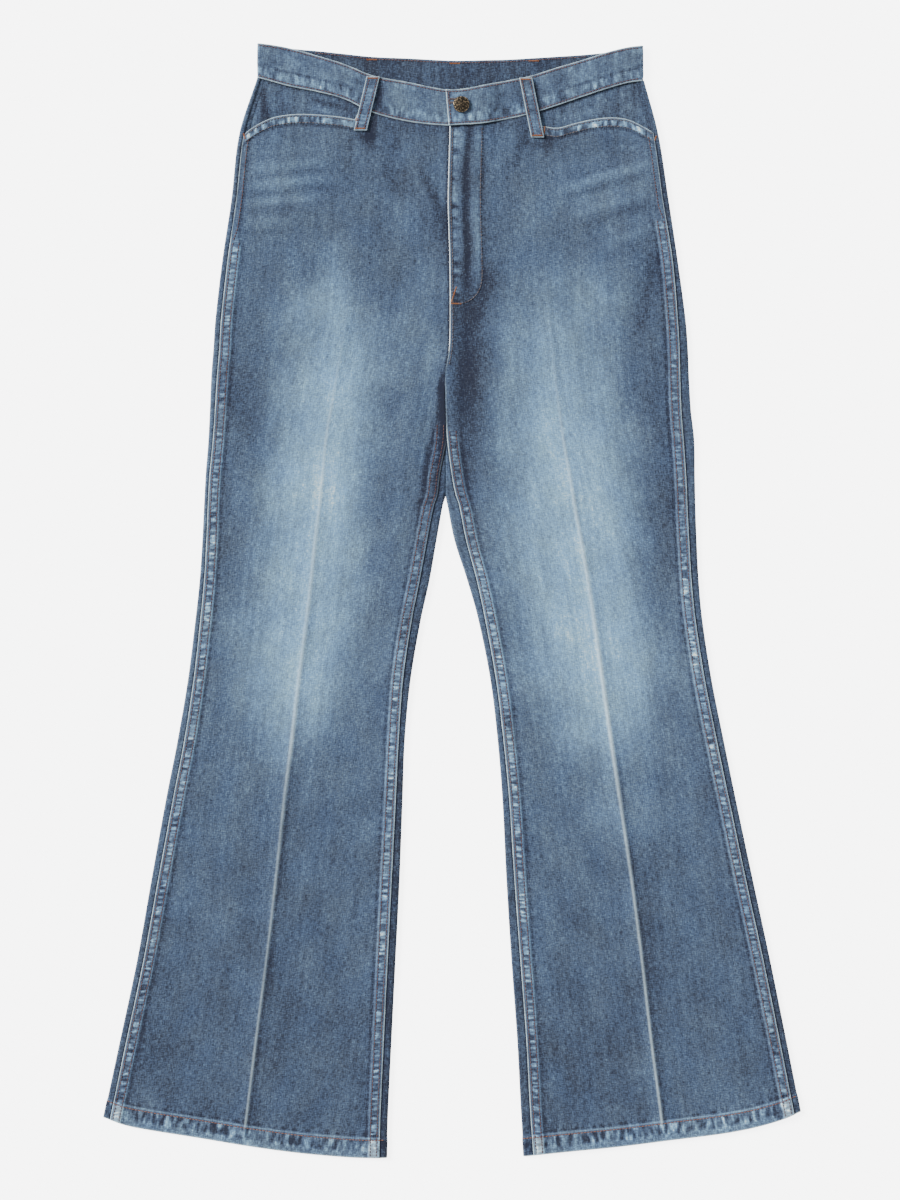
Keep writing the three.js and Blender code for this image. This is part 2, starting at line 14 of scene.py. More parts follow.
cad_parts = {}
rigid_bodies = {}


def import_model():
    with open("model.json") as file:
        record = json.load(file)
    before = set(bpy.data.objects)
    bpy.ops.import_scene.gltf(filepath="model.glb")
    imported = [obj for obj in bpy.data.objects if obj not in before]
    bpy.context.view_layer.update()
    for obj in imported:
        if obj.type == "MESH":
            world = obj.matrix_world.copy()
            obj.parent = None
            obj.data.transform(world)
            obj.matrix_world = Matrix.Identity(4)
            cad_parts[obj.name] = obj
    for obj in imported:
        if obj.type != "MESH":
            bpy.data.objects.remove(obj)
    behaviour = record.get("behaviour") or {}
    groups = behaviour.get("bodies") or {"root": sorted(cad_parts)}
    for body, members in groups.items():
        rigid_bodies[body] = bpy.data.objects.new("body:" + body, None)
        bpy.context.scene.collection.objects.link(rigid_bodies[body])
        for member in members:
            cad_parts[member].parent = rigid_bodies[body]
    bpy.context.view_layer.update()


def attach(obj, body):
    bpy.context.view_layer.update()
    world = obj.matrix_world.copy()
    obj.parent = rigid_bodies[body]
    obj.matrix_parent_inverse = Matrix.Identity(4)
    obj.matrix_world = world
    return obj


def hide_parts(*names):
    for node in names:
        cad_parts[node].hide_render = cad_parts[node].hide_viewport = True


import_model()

bl_info = {
    "name": "Flared Jeans",
    "version": (1, 0, 0),
    "blender": (4, 5, 0),
    "location": "View3D > Sidebar > Jeans",
    "description": "Sews and finishes a pair of flared denim jeans laid flat",
    "category": "Add Mesh",
}

BODY = "root"
MM = 0.001

# The cut, in millimetres
SEAM_GAP = 0.3
CAD_HALF = 0.6
FELL_WIDTH = 11.0
HEM_DEPTH = 19.0
FLY_WIDTH = 33.0
BACK_LEVEL, BACK_LEVEL_AT_WAIST = 0.6, 2.1
LEG_LEVEL, HIP_LEVEL, FRONT_LEVEL_AT_WAIST = 3.9, 4.2, 4.9
BAND_HALF = 1.0
BAND_BACK_LEVEL, BAND_FRONT_LEVEL, BAND_OVER_LEVEL = 2.7, 5.4, 7.9
BAND_OVER_END_TOP, BAND_OVER_END_LOW = -6.0, -3.0
BAND_OVER_FLAT, BAND_OVER_DOWN, BAND_UNDER_END = 32.0, 54.0, 28.0
LOOP_WIDTH = 12.5
BUTTON_X, BUTTON_Y, BUTTON_Z, BUTTON_RADIUS = 9.4, 495.4, 9.3, 8.0
FRONT_TOP, BACK_TOP, HEM_LINE = 480.0, 510.0, -545.0
TOP_BLEND, HEM_BLEND_START, HEM_BLEND_END = 150.0, -200.0, -524.0
PART_START_Y, PART_END_Y = 230.0, 194.0
CLOTH_HALF, FACING_HALF = 0.5, 0.45

# Rows of stitches: how far each is from the edge of its seam, mouth, hem, band, loop or fly
SEAM_STITCHES, SEAT_STITCHES, MOUTH_STITCHES = (2.7, 9.1), (2.6, 8.8), (1.9, 8.3)
HEM_STITCHES, BAND_STITCHES, LOOP_STITCHES, FLY_STITCHES = HEM_DEPTH - 1.2, 1.9, 2.3, 2.6

# Each leg from the waist seam to the hem: folded edges, seams in from them, and the pressed line
LEG_COLUMNS = ("y", "outer", "outseam", "crease", "inseam", "inner")
LEG_RIGHT = (
    (522.8, -195, 3.5, -98, 0, -2.1), (466.8, -213, 5, -98, 0, -2.4),
    (400.8, -221, 5.2, -99, 0, -4), (340.8, -230, 5.8, -101, 0, -2.4),
    (280.8, -237, 6.2, -106, 0, -2), (250.8, -239, 6.4, -111.5, 0, -3),
    (225.8, -241, 6.3, -116, 0, -6.1), (190.8, -242.5, 5.6, -122, 0, -5.5),
    (160.8, -244, 5, -127, 0.5, -5.4), (125.8, -246.7, 4.4, -130.5, 6.5, -5.5),
    (106, -247.8, 4.3, -132.6, 8.3, -5.9),
    (95.8, -248.3, 4.3, -133.5, 9, -8.7), (60.8, -250, 4.6, -137.6, 9.6, -15),
    (20.8, -252.7, 5, -141.7, 10, -22), (-19.2, -257, 5.5, -146.3, 9.2, -30.8),
    (-79.2, -264.5, 6.2, -154.2, 7.8, -41), (-139.2, -274.7, 7.2, -161, 6.3, -46.8),
    (-199.2, -286.5, 7.5, -168.5, 7, -49), (-279.2, -301, 7.2, -177, 8.1, -52),
    (-359.2, -315.2, 6.9, -186.4, 8.1, -56), (-439.2, -332.2, 6.9, -196.8, 8, -60),
    (-509.2, -347.2, 7.3, -205.5, 7.8, -63.4), (-557.2, -357.4, 7.6, -211.5, 7.6, -65),
)
LEG_LEFT = (
    (522.8, 191.5, 3.5, 91, 0, -2.1), (466.8, 206.5, 5, 91, 0, -2.4),
    (400.8, 217, 6, 93, 0, -4), (340.8, 226, 5.4, 95, 0, -2.4),
    (280.8, 234, 8.2, 97.5, 0, -2), (250.8, 236.3, 8.8, 100, 0, -3),
    (225.8, 237.3, 9.2, 102, 0, -7.5), (190.8, 239.3, 10, 106.5, 0.6, -7.0),
    (160.8, 242.6, 11, 110.5, 2.2, -7.0), (125.8, 243.2, 9.2, 116.5, 6.8, -7.1),
    (106, 243.6, 8.6, 120, 10.5, -6.9),
    (95.8, 243.8, 8.5, 121.5, 12, -5), (60.8, 245, 7.9, 128, 12, 2),
    (20.8, 247, 7.5, 134.8, 9.8, 14.8), (-19.2, 250.7, 7.2, 141, 7.2, 26),
    (-79.2, 260, 7.1, 149.5, 6, 38), (-139.2, 272, 7.3, 158, 6.2, 45.2),
    (-199.2, 284.3, 7.1, 167, 7.2, 50), (-279.2, 301.3, 7.3, 178.7, 8.4, 54),
    (-359.2, 318.5, 7.2, 189, 9.3, 59), (-439.2, 334.7, 7.1, 198.3, 9.5, 64.8),
    (-509.2, 348.5, 7.1, 207.5, 9.6, 68.5), (-557.2, 358, 7.1, 213, 10, 71.5),
)
WAIST_COLUMNS = ("x", "front_top", "front_low", "back_top", "back_low")
WAIST = (
    (-195, 557.2, 523.5, 557.2, 523.5), (-179, 555.1, 519.1, 554.5, 520.1),
    (-162, 551.8, 514.5, 552.1, 518), (-129, 542.8, 507.8, 549, 514.8),
    (-106, 535.5, 501.1, 546.5, 512.2), (-80, 525, 488.6, 543.8, 509.8),
    (-44, 518, 479.4, 542.2, 507.8), (-6, 510.6, 475.4, 540.2, 505.8),
    (12, 511.1, 476.1, 540, 505.4), (32, 515, 477.4, 540.5, 505.8),
    (55, 519.5, 481.8, 541, 506.8), (79, 524.4, 487.2, 542.4, 508.2),
    (105, 532.6, 495.4, 544, 509.8), (132, 540.5, 504.6, 545.8, 511.8),
    (155, 547.9, 512.2, 548.1, 513.8), (176, 553, 518.1, 552.1, 517.5),
    (191.5, 554.8, 520.2, 554.8, 520.2),
)
MOUTH_RIGHT = ((-213, 459), (-207, 466.8), (-194, 475.9), (-179, 482.8), (-161.5, 485.8),
               (-144, 486.2), (-115, 483.9), (-97.5, 480.9), (-88, 478.6))
MOUTH_LEFT = ((84, 474.5), (94.5, 473.6), (105.5, 472.4), (120, 476.2), (137.5, 480.4),
              (158, 482.8), (176, 480.8), (193.5, 472.4), (203.5, 466.2), (210, 460.5))
HEM_RIGHT = ((-357, -514.2), (-349, -516.2), (-327, -524.2), (-302, -529.2), (-252, -537.2),
             (-202, -545.5), (-152, -552.2), (-102, -556.5), (-77, -557.2), (-57, -556.7))
HEM_LEFT = ((60, -556.8), (72, -555.5), (118, -550.8), (168, -545.8), (218, -539.5),
            (268, -533.2), (298, -527.8), (323, -521.2), (338, -515.7), (349, -510.2),
            (360, -504.2))

# Soft folds of the front, each a ridge (height above 0) or a trough (below 0):
# x and y of one end, x and y of the other, half width, height
FRONT_FOLDS = (
    (-45, 434, -12, 386, 11, 1.1), (-190, 420, -120, 392, 12, 0.8),
    (206, 340, 180, 256, 12, -1.2), (112, 414, 200, 442, 12, 0.9),
    (122, 384, 196, 408, 12, 0.8), (24, 220, 40, 60, 14, 0.9),
    (-40, 190, -60, 40, 14, 0.8),
    (-36, 420, -10, 398, 5, -0.5), (-30, 452, -14, 430, 5, 0.45),
    (-200, 436, -128, 444, 6, 0.45), (-206, 404, -118, 413, 7, -0.5),
    (-205, 380, -150, 384, 7, 0.4), (-196, 366, -140, 362, 8, -0.35),
    (148, 352, 206, 378, 8, 0.5), (126, 400, 200, 424, 6, -0.45),
    (15, 312, 20, 130, 10, -1.0), (-12, 240, -20, 120, 8, -0.5),
    (60, 300, 52, 190, 16, 0.35), (-200, 150, -210, -40, 18, 0.4),
    (200, 120, 214, -60, 18, -0.4), (-222, -280, -240, -430, 16, 0.35),
    (120, -200, 132, -340, 20, 0.4), (250, -260, 268, -420, 18, -0.35),
    (-110, -300, -118, -450, 18, -0.35), (-250, -180, -205, -240, 12, 0.35),
    (80, -470, 120, -400, 10, 0.4), (300, -480, 262, -420, 12, 0.4),
)
# The same kind of soft creases on the side that lies down
BACK_FOLDS = (
    (-60, 300, -150, 262, 9, 0.7), (-40, 268, -130, 222, 8, 0.6), (60, 292, 150, 258, 9, 0.7),
    (44, 262, 128, 214, 8, 0.55), (-150, -60, -90, -84, 10, 0.5), (120, -58, 180, -90, 10, 0.5),
    (-210, 380, -60, 420, 12, 0.5), (60, 424, 208, 384, 12, 0.5), (-180, -300, -120, -330, 14, 0.4),
    (160, -290, 220, -322, 14, 0.4), (-120, 150, -140, -60, 16, 0.5), (120, 140, 140, -40, 16, 0.5),
)

# Fading down the legs, from 0 for navy to 1 for white: y, tone
TONE_DOWN = ((500, 0.35), (440, 0.345), (380, 0.36), (300, 0.385), (200, 0.385), (60, 0.375),
             (-100, 0.375), (-200, 0.345), (-300, 0.325), (-420, 0.285), (-557, 0.275))
# The faded thigh of each leg: its middle, how far it reaches each way, and how pale it is
THIGH_COLUMNS = ("y", "middle", "to_outer", "to_inner", "pale")
THIGH_RIGHT = (
    (380, -108, 40, 20, 0.0), (340, -106, 44, 20, 0.06), (300, -114, 48, 26, 0.20),
    (240, -115, 45, 40, 0.28), (180, -125, 42, 44, 0.36), (120, -132, 48, 40, 0.40),
    (60, -136, 50, 40, 0.38), (0, -142, 56, 44, 0.33), (-60, -150, 58, 44, 0.33),
    (-100, -155, 46, 36, 0.31), (-130, -158, 38, 30, 0.23), (-155, -160, 32, 24, 0.12),
    (-185, -160, 28, 22, 0.04), (-220, -162, 28, 20, 0.0),
)
THIGH_LEFT = (
    (370, 112, 45, 44, 0.0), (340, 116, 45, 46, 0.05), (300, 122, 46, 58, 0.14),
    (240, 104, 58, 46, 0.23), (180, 106, 66, 50, 0.31), (120, 122, 56, 62, 0.37),
    (60, 122, 62, 64, 0.36), (0, 132, 66, 64, 0.34), (-60, 150, 56, 60, 0.37),
    (-100, 152, 48, 56, 0.32), (-130, 155, 42, 50, 0.29), (-152, 157, 38, 46, 0.20),
    (-180, 160, 35, 45, 0.12), (-215, 165, 35, 45, 0.07), (-260, 168, 34, 40, 0.02),
    (-310, 170, 34, 40, 0.0),
)
# Some darker spots are painted shade: shadows beside and under the front belt loops, and shade at the
# crotch and fly
# Paler and darker spots: x, y, reach along x, reach along y, lean in degrees, tone
SPOTS = (
    (15, 238, 13, 80, 2, -0.23), (12, 130, 15, 60, -8, -0.09), (40, 330, 30, 60, 0, -0.06),
    (20, 60, 12, 40, -10, -0.05), (-8, 150, 9, 70, 4, -0.16), (-30, 260, 26, 70, 0, 0.05),
    (205, 215, 26, 120, 0, -0.09), (206, 60, 22, 90, -6, -0.07), (-222, 210, 22, 90, 0, -0.04),
    (-222, 60, 24, 70, 2, -0.05), (-70, 380, 40, 40, 0, -0.02), (-175, 425, 34, 26, -6, 0.05),
    (45, 425, 30, 40, 0, -0.03), (75, 395, 26, 46, 0, 0.04), (165, 420, 46, 20, 20, 0.04),
    (200, 330, 22, 60, 10, -0.05), (-60, 330, 26, 40, 0, -0.03), (-150, 330, 40, 20, 0, -0.03),
    (-52, -120, 30, 60, -10, 0.03), (80, -60, 24, 60, -10, 0.02), (-72, -300, 26, 90, -4, 0.03),
    (88, -330, 20, 80, -6, 0.04), (196, -330, 14, 120, -8, -0.05), (-150, -440, 30, 60, 0, -0.03),
    (150, -450, 50, 50, 0, -0.03), (-300, -420, 20, 90, -12, -0.04), (-205, -500, 60, 30, 0, 0.02),
    (-260, -300, 26, 90, -12, 0.01), (180, 470, 22, 12, 0, 0.05),
    (120, 455, 40, 12, 0, 0.02), (-80.5, 469, 6.5, 15, -13, -0.36),
    (-88, 464, 10, 4.5, 0, -0.22), (96, 466, 4.5, 14, 12, -0.22), (87, 456, 9, 4.5, 0, -0.20),
    (-60, 450, 6, 22, -20, -0.10), (-34, 470, 20, 6, 0, -0.05), (72, 470, 6, 14, -13, -0.20),
    (13, 215, 12, 110, 0, -0.12), (36, 210, 16, 130, 0, -0.08), (13, 380, 9, 80, 0, -0.07),
    (-17, 384, 14, 30, 0, -0.10), (-47, 421, 16, 22, 0, -0.09), (-212, 200, 26, 70, 0, -0.07),
    (212, 80, 20, 150, 0, -0.08), (-78, 120, 14, 90, 4, -0.07), (244, -482, 70, 60, 0, 0.07),
    (150, -30, 50, 60, 0, 0.02), (40, 250, 14, 40, 10, -0.05),
    (-12, 310, 7, 60, 0, -0.08), (-107, 421, 20, 20, 0, -0.05), (60, 440, 12, 30, 0, -0.04),
    (3, 195, 8, 36, 0, -0.10), (165, -215, 40, 36, 0, 0.035), (-180, -300, 50, 60, 0, -0.03),
    (50, 190, 10, 60, 0, 0.05), (-20, 225, 9, 40, 0, 0.06), (-117, 300, 10, 70, 0, 0.08),
    (-94, 318, 9, 45, 0, -0.08), (-75, 352, 12, 22, 0, -0.05), (-63, 190, 14, 34, 0, -0.09),
    (-197, 225, 12, 80, 0, -0.08), (176, 215, 16, 50, 0, -0.11), (52, 270, 14, 40, 0, 0.04),
)
# How bare the pressed line of each leg is, and how far towards +X it stands from the leg's crease
LINE_COLUMNS = ("y", "right", "left")
LINE_BARE = (
    (-540, 0.22, 0.34), (-439, 0.22, 0.34), (-359, 0.17, 0.31), (-279, 0.20, 0.31),
    (-199, 0.18, 0.30), (-175, 0.22, 0.36), (-139, 0.33, 0.52), (-79, 0.29, 0.47),
    (-19, 0.21, 0.37), (60, 0.25, 0.31), (125, 0.22, 0.27), (190, 0.17, 0.10),
    (250, 0.02, 0.02), (280, 0.0, 0.0),
)
LINE_ASIDE = 1.0
# Shading of small folds on the pocket facings: the two ends, half width, tone
FACING_FOLDS = (
    (-190, 514, -185, 474, 4.2, -0.25), (-181, 510, -178, 478, 3.6, 0.11), (-165, 507, -150, 488, 7, 0.06),
    (-140, 502, -110, 493, 3, -0.15), (-142, 494, -112, 486, 2.6, 0.10), (-104, 500, -99, 484, 3, -0.08),
    (-200, 500, -198, 470, 3, 0.07), (95, 492, 150, 511, 3, -0.09), (190, 518, 202, 476, 4, -0.12),
    (108, 482, 150, 493, 4, 0.07), (130, 502, 152, 486, 3, -0.06), (168, 508, 186, 486, 5, 0.07),
    (196, 512, 205, 480, 2.4, 0.07),
)
# Where the streaks follow folds and parts, the dark ones are painted shade: in the troughs across the hips,
# by the fly, down the left hip and beside the belt loops
# Pale and dark streaks, most of them across the hips, and a few scuffs: the two ends, half width, tone
STREAKS = (
    (-206, 431, -128, 440, 5, 0.09), (-208, 414, -116, 424, 5, 0.11), (-206, 398, -130, 404, 5, 0.09),
    (-210, 378, -152, 380, 5, 0.05), (-204, 406, -120, 414, 4, -0.07), (-204, 388, -140, 392, 4, -0.06),
    (108, 411, 203, 441, 5, 0.12), (123, 388, 198, 408, 5, 0.10), (148, 353, 203, 376, 5, 0.08),
    (112, 402, 202, 430, 4, -0.07), (130, 376, 200, 396, 4, -0.07), (96, 430, 160, 448, 4, 0.05),
    (-44, 432, -14, 388, 4, 0.06), (-32, 432, -5, 374, 4.5, -0.15), (-168, 318, -164, 314, 1.2, 0.35),
    (-312, -486, -300, -498, 1.2, 0.18), (-308, -494, -296, -506, 1.1, 0.14),
    (-60, 404, -46, 372, 4, 0.04), (204, 352, 186, 262, 7, -0.14), (-7, 380, -7, 325, 4, -0.12),
    (41, 338, 19, 270, 8, -0.15), (44, 472, 30, 420, 4, -0.06), (52, 470, 42, 430, 3, 0.05),
    (78, 468, 58, 432, 4, -0.10), (100, 462, 92, 442, 3, -0.08), (-62, 478, -76, 440, 5, -0.10),
    (-52, 470, -40, 436, 4, 0.05), (-98, 470, -108, 450, 4, -0.06), (-72, 440, -48, 400, 5, -0.05),
    (-208, 447, -140, 453, 2.4, 0.05), (-202, 423, -126, 432, 2.2, -0.07),
    (-206, 392, -126, 399, 2.2, -0.05), (-204, 368, -150, 370, 3, -0.05),
    (120, 422, 204, 447, 2.4, -0.07), (140, 366, 204, 388, 2.6, 0.06),
    (150, 340, 204, 362, 3, -0.05), (100, 396, 180, 414, 2.4, 0.05),
)
# The shadow of the left leg on the right one, down its inseam: y and width, then y and darkness
LEG_SHADOW_REACH = ((-60, 12), (40, 12), (70, 12), (100, 17), (125, 20), (155, 16.5), (171, 13),
                    (186, 10.5), (215, 7.5), (232, 3))
LEG_SHADOW_TONE = ((-90, 0), (0, 0.08), (70, 0.16), (110, 0.21), (150, 0.22), (215, 0.24), (236, 0))


def mix(a, b, w):
    return a + (b - a) * w


def smooth(start, end, v):
    w = np.clip((np.asarray(v, float) - start) / (end - start), 0.0, 1.0)
    return w * w * (3 - 2 * w)


def bell(v, width):
    return np.exp(-(np.asarray(v, float) / width) ** 2)


def read_table(rows, at, column=1):
    """One column of a table read at any place along its first, in straight runs between its rows."""
    table = np.array(rows, float)
    return np.interp(at, table[:, 0], table[:, column])


class Curve:
    """One column of a table read at any place, as a smooth curve through its rows."""

    def __init__(self, rows, column=1):
        ordered = sorted(rows)
        self.key = np.array([row[0] for row in ordered], float)
        self.val = np.array([row[column] for row in ordered], float)
        key, val = self.key, self.val
        self.slope = np.empty_like(val)
        self.slope[1:-1] = (val[2:] - val[:-2]) / (key[2:] - key[:-2])
        self.slope[0] = (val[1] - val[0]) / (key[1] - key[0])
        self.slope[-1] = (val[-1] - val[-2]) / (key[-1] - key[-2])

    def __call__(self, at):
        at = np.asarray(at, float)
        key, val, slope = self.key, self.val, self.slope
        i = np.clip(np.searchsorted(key, at) - 1, 0, len(key) - 2)
        span = key[i + 1] - key[i]
        w = (at - key[i]) / span
        bend = w * w * (3 - 2 * w)
        lean = slope[i] * (w - 2 * w * w + w ** 3) + slope[i + 1] * (w ** 3 - w * w)
        inside = mix(val[i], val[i + 1], bend) + span * lean
        low = val[0] + slope[0] * (at - key[0])
        high = val[-1] + slope[-1] * (at - key[-1])
        return np.where(at <= key[0], low, np.where(at >= key[-1], high, inside))


class Leg:
    """One leg's curves. to_inner is the way along X from the outseam to the inseam."""

    def __init__(self, side, table, mouth, hem, thigh, fell_top, inner_top):
        for column, name in enumerate(LEG_COLUMNS[1:], 1):
            setattr(self, name, Curve(table, column))
        for column, name in enumerate(THIGH_COLUMNS[1:], 1):
            setattr(self, "thigh_" + name, Curve(thigh, column))
        self.side = side
        self.to_inner = 1.0 if table[0][5] > table[0][1] else -1.0
        self.mouth, self.hem = Curve(mouth), Curve(hem)
        self.mouth_end = table[0][3]
        self.fell_top, self.inner_top = fell_top, inner_top
        self.seed = 11 if side == "right" else 23

    def seam_x(self, y):
        return self.outer(y) + self.to_inner * (self.outseam(y) + SEAM_GAP / 2)


waist = {name: Curve(WAIST, column) for column, name in enumerate(WAIST_COLUMNS[1:], 1)}
tone_down = Curve(TONE_DOWN)
LEGS = {
    "right": Leg("right", LEG_RIGHT, MOUTH_RIGHT, HEM_RIGHT, THIGH_RIGHT, 358.0, 176.0),
    "left": Leg("left", LEG_LEFT, MOUTH_LEFT, HEM_LEFT, THIGH_LEFT, 380.0, 170.0),
}


def back_level(y):
    return mix(BACK_LEVEL, BACK_LEVEL_AT_WAIST, smooth(444, 480, y))


def front_level(y):
    body = mix(LEG_LEVEL, HIP_LEVEL, smooth(100, 260, y))
    return mix(body, FRONT_LEVEL_AT_WAIST, smooth(430, 474, y))


class Fold:
    """The half circle of cloth at one edge of a laid leg, which joins the back to the front."""

    def __init__(self, leg, y, side):
        self.low = back_level(y)
        self.radius = (front_level(y) - self.low) / 2
        inner = side == "inner"
        opened = smooth(PART_START_Y, PART_END_Y, y) if inner else np.ones_like(y)
        inset = leg.inseam(y) if inner else leg.outseam(y)
        seam = (math.pi - 1) * self.radius - CAD_HALF + inset
        self.outward = leg.to_inner if inner else -leg.to_inner
        turn = np.minimum(math.pi / 2, opened * seam / self.radius)
        edge = leg.inner(y) - leg.to_inner * 0.2 if inner else leg.outer(y)
        self.centre = edge - self.outward * (self.radius + CAD_HALF) * np.sin(turn)
        self.whole = math.pi * self.radius
        self.back_end = opened * seam - SEAM_GAP / 2
        self.front_end = opened * (self.whole - seam) - SEAM_GAP / 2
        self.tuck = opened * smooth(1.5, 4.0, inset)

    def at(self, s):
        """Place and normal of the cloth at a distance round from the flat bottom."""
        a = np.clip(s / self.radius, 0, math.pi)
        past = np.minimum(s, 0) - np.maximum(s - self.whole, 0)
        x = self.centre + self.outward * (self.radius * np.sin(a) + past)
        z = self.low + self.radius - self.radius * np.cos(a)
        return x, z, self.outward * np.sin(a), -np.cos(a)


class Puckers:
    """Uneven small gathers along a seam: soft bumps of differing size and spacing."""

    def __init__(self, seed, start, end, period, unevenness=0.38):
        rng = np.random.default_rng(seed)
        self.at = np.arange(start, end, 0.5)
        self.height = np.zeros_like(self.at)
        place = start
        while place < end:
            gap = period * rng.uniform(1 - unevenness, 1 + unevenness)
            place += gap
            size = rng.uniform(0.4, 1.0) * (0.25 if rng.random() < 0.14 else 1.0)
            self.height += size * np.exp(-((self.at - place) / (gap * rng.uniform(0.22, 0.4))) ** 2)
        self.height -= self.height.mean()

    def __call__(self, s):
        return np.interp(s, self.at, self.height)


def drift(s, seed, length):
    """A slow uneven wave from about -1 to 1."""
    rng = np.random.default_rng(seed)
    total = np.zeros_like(np.asarray(s, float))
    for part in range(4):
        period = length * rng.uniform(0.6, 1.7) / (1 + 0.5 * part)
        total += np.sin(2 * math.pi * s / period + rng.uniform(0, 6.28)) * 0.45
    return total


def along_line(x, y, x1, y1, x2, y2):
    """How far along a line a point is, from 0 to 1, and how far off it."""
    length = math.hypot(x2 - x1, y2 - y1)
    along = ((x - x1) * (x2 - x1) + (y - y1) * (y2 - y1)) / length ** 2
    across = ((x - x1) * (y2 - y1) - (y - y1) * (x2 - x1)) / length
    return along, across


def between_ends(along, beyond, within):
    """1 in the middle of a line, falling from within its ends to 0 beyond them."""
    return smooth(-beyond, within, along) * smooth(1 + beyond, 1 - within, along)


def folds_at(table, x, y):
    """Soft ridges and troughs, steeper on one side than the other."""
    total = np.zeros_like(x)
    for number, (*ends, half_width, height) in enumerate(table):
        along, across = along_line(x, y, *ends)
        bent = across + half_width * 0.35 * np.sin(along * 3.1 + number)
        width = half_width * np.where(bent > 0, 1.12, 0.88)
        total += height * between_ends(along, 0.35, 0.3) * bell(bent, width)
    return total


def streaks_at(table, x, y, beyond, within):
    """The tone that straight soft streaks add."""
    total = np.zeros_like(x)
    for *ends, half_width, amount in table:
        along, across = along_line(x, y, *ends)
        total += amount * between_ends(along, beyond, within) * bell(across, half_width)
    return total


def spot_at(x, y, place_x, place_y, reach_x, reach_y, lean, power=1.0):
    """A leaning oval spot, from 1 at its middle to 0 far from it."""
    a = math.radians(lean)
    dx, dy = x - place_x, y - place_y
    u = (dx * math.cos(a) + dy * math.sin(a)) / reach_x
    v = (dy * math.cos(a) - dx * math.sin(a)) / reach_y
    return np.exp(-(u * u + v * v) ** power)


def faded_and_shaded_tone(leg, x, y):
    """The tone of the denim at a place on the front, before its seams: its worn fade, with the painted
    shadows and shade of SPOTS and STREAKS.
    """
    tone = tone_down(y).copy()
    side = (x - leg.thigh_middle(y)) * leg.to_inner
    reach = np.where(side > 0, leg.thigh_to_inner(y), leg.thigh_to_outer(y))
    tone += np.maximum(leg.thigh_pale(y), 0) * np.exp(-0.7 * (np.abs(side) / reach) ** 2.3)
    for *spot, amount in SPOTS:
        tone += amount * spot_at(x, y, *spot, power=1.1)
    return tone + streaks_at(STREAKS, x, y, 0.12, 0.2)


# Meshes
def put_in_scene(name, mesh):
    obj = bpy.data.objects.new(name, mesh)
    bpy.context.scene.collection.objects.link(obj)
    return obj


def mesh_of(name, points, faces, smooth_faces=True):
    """A mesh of faces that all have the same number of corners; points in millimetres."""
    mesh = bpy.data.meshes.new(name)
    mesh.vertices.add(len(points))
    mesh.vertices.foreach_set("co", (np.asarray(points) * MM).astype(np.float32).ravel())
    mesh.loops.add(faces.size)
    mesh.loops.foreach_set("vertex_index", faces.astype(np.int32).ravel())
    mesh.polygons.add(len(faces))
    mesh.polygons.foreach_set("loop_start", np.arange(0, faces.size, faces.shape[1], dtype=np.int32))
    mesh.polygons.foreach_set("use_smooth", np.full(len(faces), smooth_faces))
    mesh.update(calc_edges=True)
    return mesh


def signed_volume(points, quads):
    total = 0.0
    for a, b, c in ((0, 1, 2), (0, 2, 3)):
        p, q, r = points[quads[:, a]], points[quads[:, b]], points[quads[:, c]]
        total += float(np.einsum("ij,ij->i", p, np.cross(q, r)).sum())
    return total


# Where each piece lies across the endless dyed cloth, so that no two show the same yarns
DYE_SHIFT = {"front_right": 0, "front_left": 400, "back_right": 1000, "back_left": 1500,
             "facing": 2200, "band": 3000, "loop": 4200}
# Wear and painted light and shade, point by point: the tone of the fade with painted shade and light in it,
# uneven wear on it, bare yarn, and gathers along or down a seam
LOOKS = ("tone", "wear", "bare", "gather_along", "gather_down")


class Looks(dict):
    def __init__(self, x, tone):
        super().__init__({key: np.zeros_like(x) for key in LOOKS})
        self["tone"] = self["tone"] + tone


def closed_cloth(name, middle, normal, up, down, uv, looks, inside=None, rim=0.3):
    """A closed wall of cloth through a grid of points, with rounded edges.

    up and down are its half thicknesses. looks is kept as attributes for the dyes; inside gives
    the tone of the cloth's other face where it differs.
    """
    rows, columns = middle.shape[:2]
    top = (middle + normal * up[..., None]).reshape(-1, 3)
    under = (middle - normal * down[..., None]).reshape(-1, 3)
    grid = np.arange(rows * columns).reshape(rows, columns)
    border = np.concatenate([grid[0, :-1], grid[:-1, -1], grid[-1, :0:-1], grid[:0:-1, 0]])
    inner = grid[np.clip(border // columns, 1, rows - 2), np.clip(border % columns, 1, columns - 2)]
    centre = (top + under) / 2
    out = centre[border] - centre[inner]
    out /= np.maximum(np.linalg.norm(out, axis=1, keepdims=True), 1e-9)
    edge = centre[border] + out * rim
    points = np.concatenate([top, under, edge])
    count, ring = rows * columns, len(border)
    a, b, c, d = grid[:-1, :-1], grid[:-1, 1:], grid[1:, 1:], grid[1:, :-1]
    face = np.stack([a, b, c, d], -1).reshape(-1, 4)
    here, after = np.arange(ring), (np.arange(ring) + 1) % ring
    upper = np.stack([border[after], border[here], 2 * count + here, 2 * count + after], -1)
    lower = np.stack([2 * count + after, 2 * count + here, count + border[here],
                      count + border[after]], -1)
    quads = np.concatenate([face, count + face[:, ::-1], upper, lower])
    if signed_volume(points, quads) < 0:
        quads = quads[:, ::-1]
    mesh = mesh_of(name, points, quads)
    flat_uv = uv.reshape(-1, 2) * MM
    corner_uv = np.concatenate([flat_uv, flat_uv, flat_uv[border]])[quads.ravel()]
    mesh.uv_layers.new(name="cloth").data.foreach_set("uv", corner_uv.astype(np.float32).ravel())
    for key in LOOKS:
        flat = looks[key].ravel()
        back = flat if inside is None else np.zeros_like(flat)
        if inside is not None and key == "tone":
            back = np.broadcast_to(inside, looks[key].shape).ravel()
        values = np.concatenate([flat, back, flat[border]]).astype(np.float32)
        mesh.attributes.new(key, "FLOAT", "POINT").data.foreach_set("value", values)
    return put_in_scene(name, mesh)


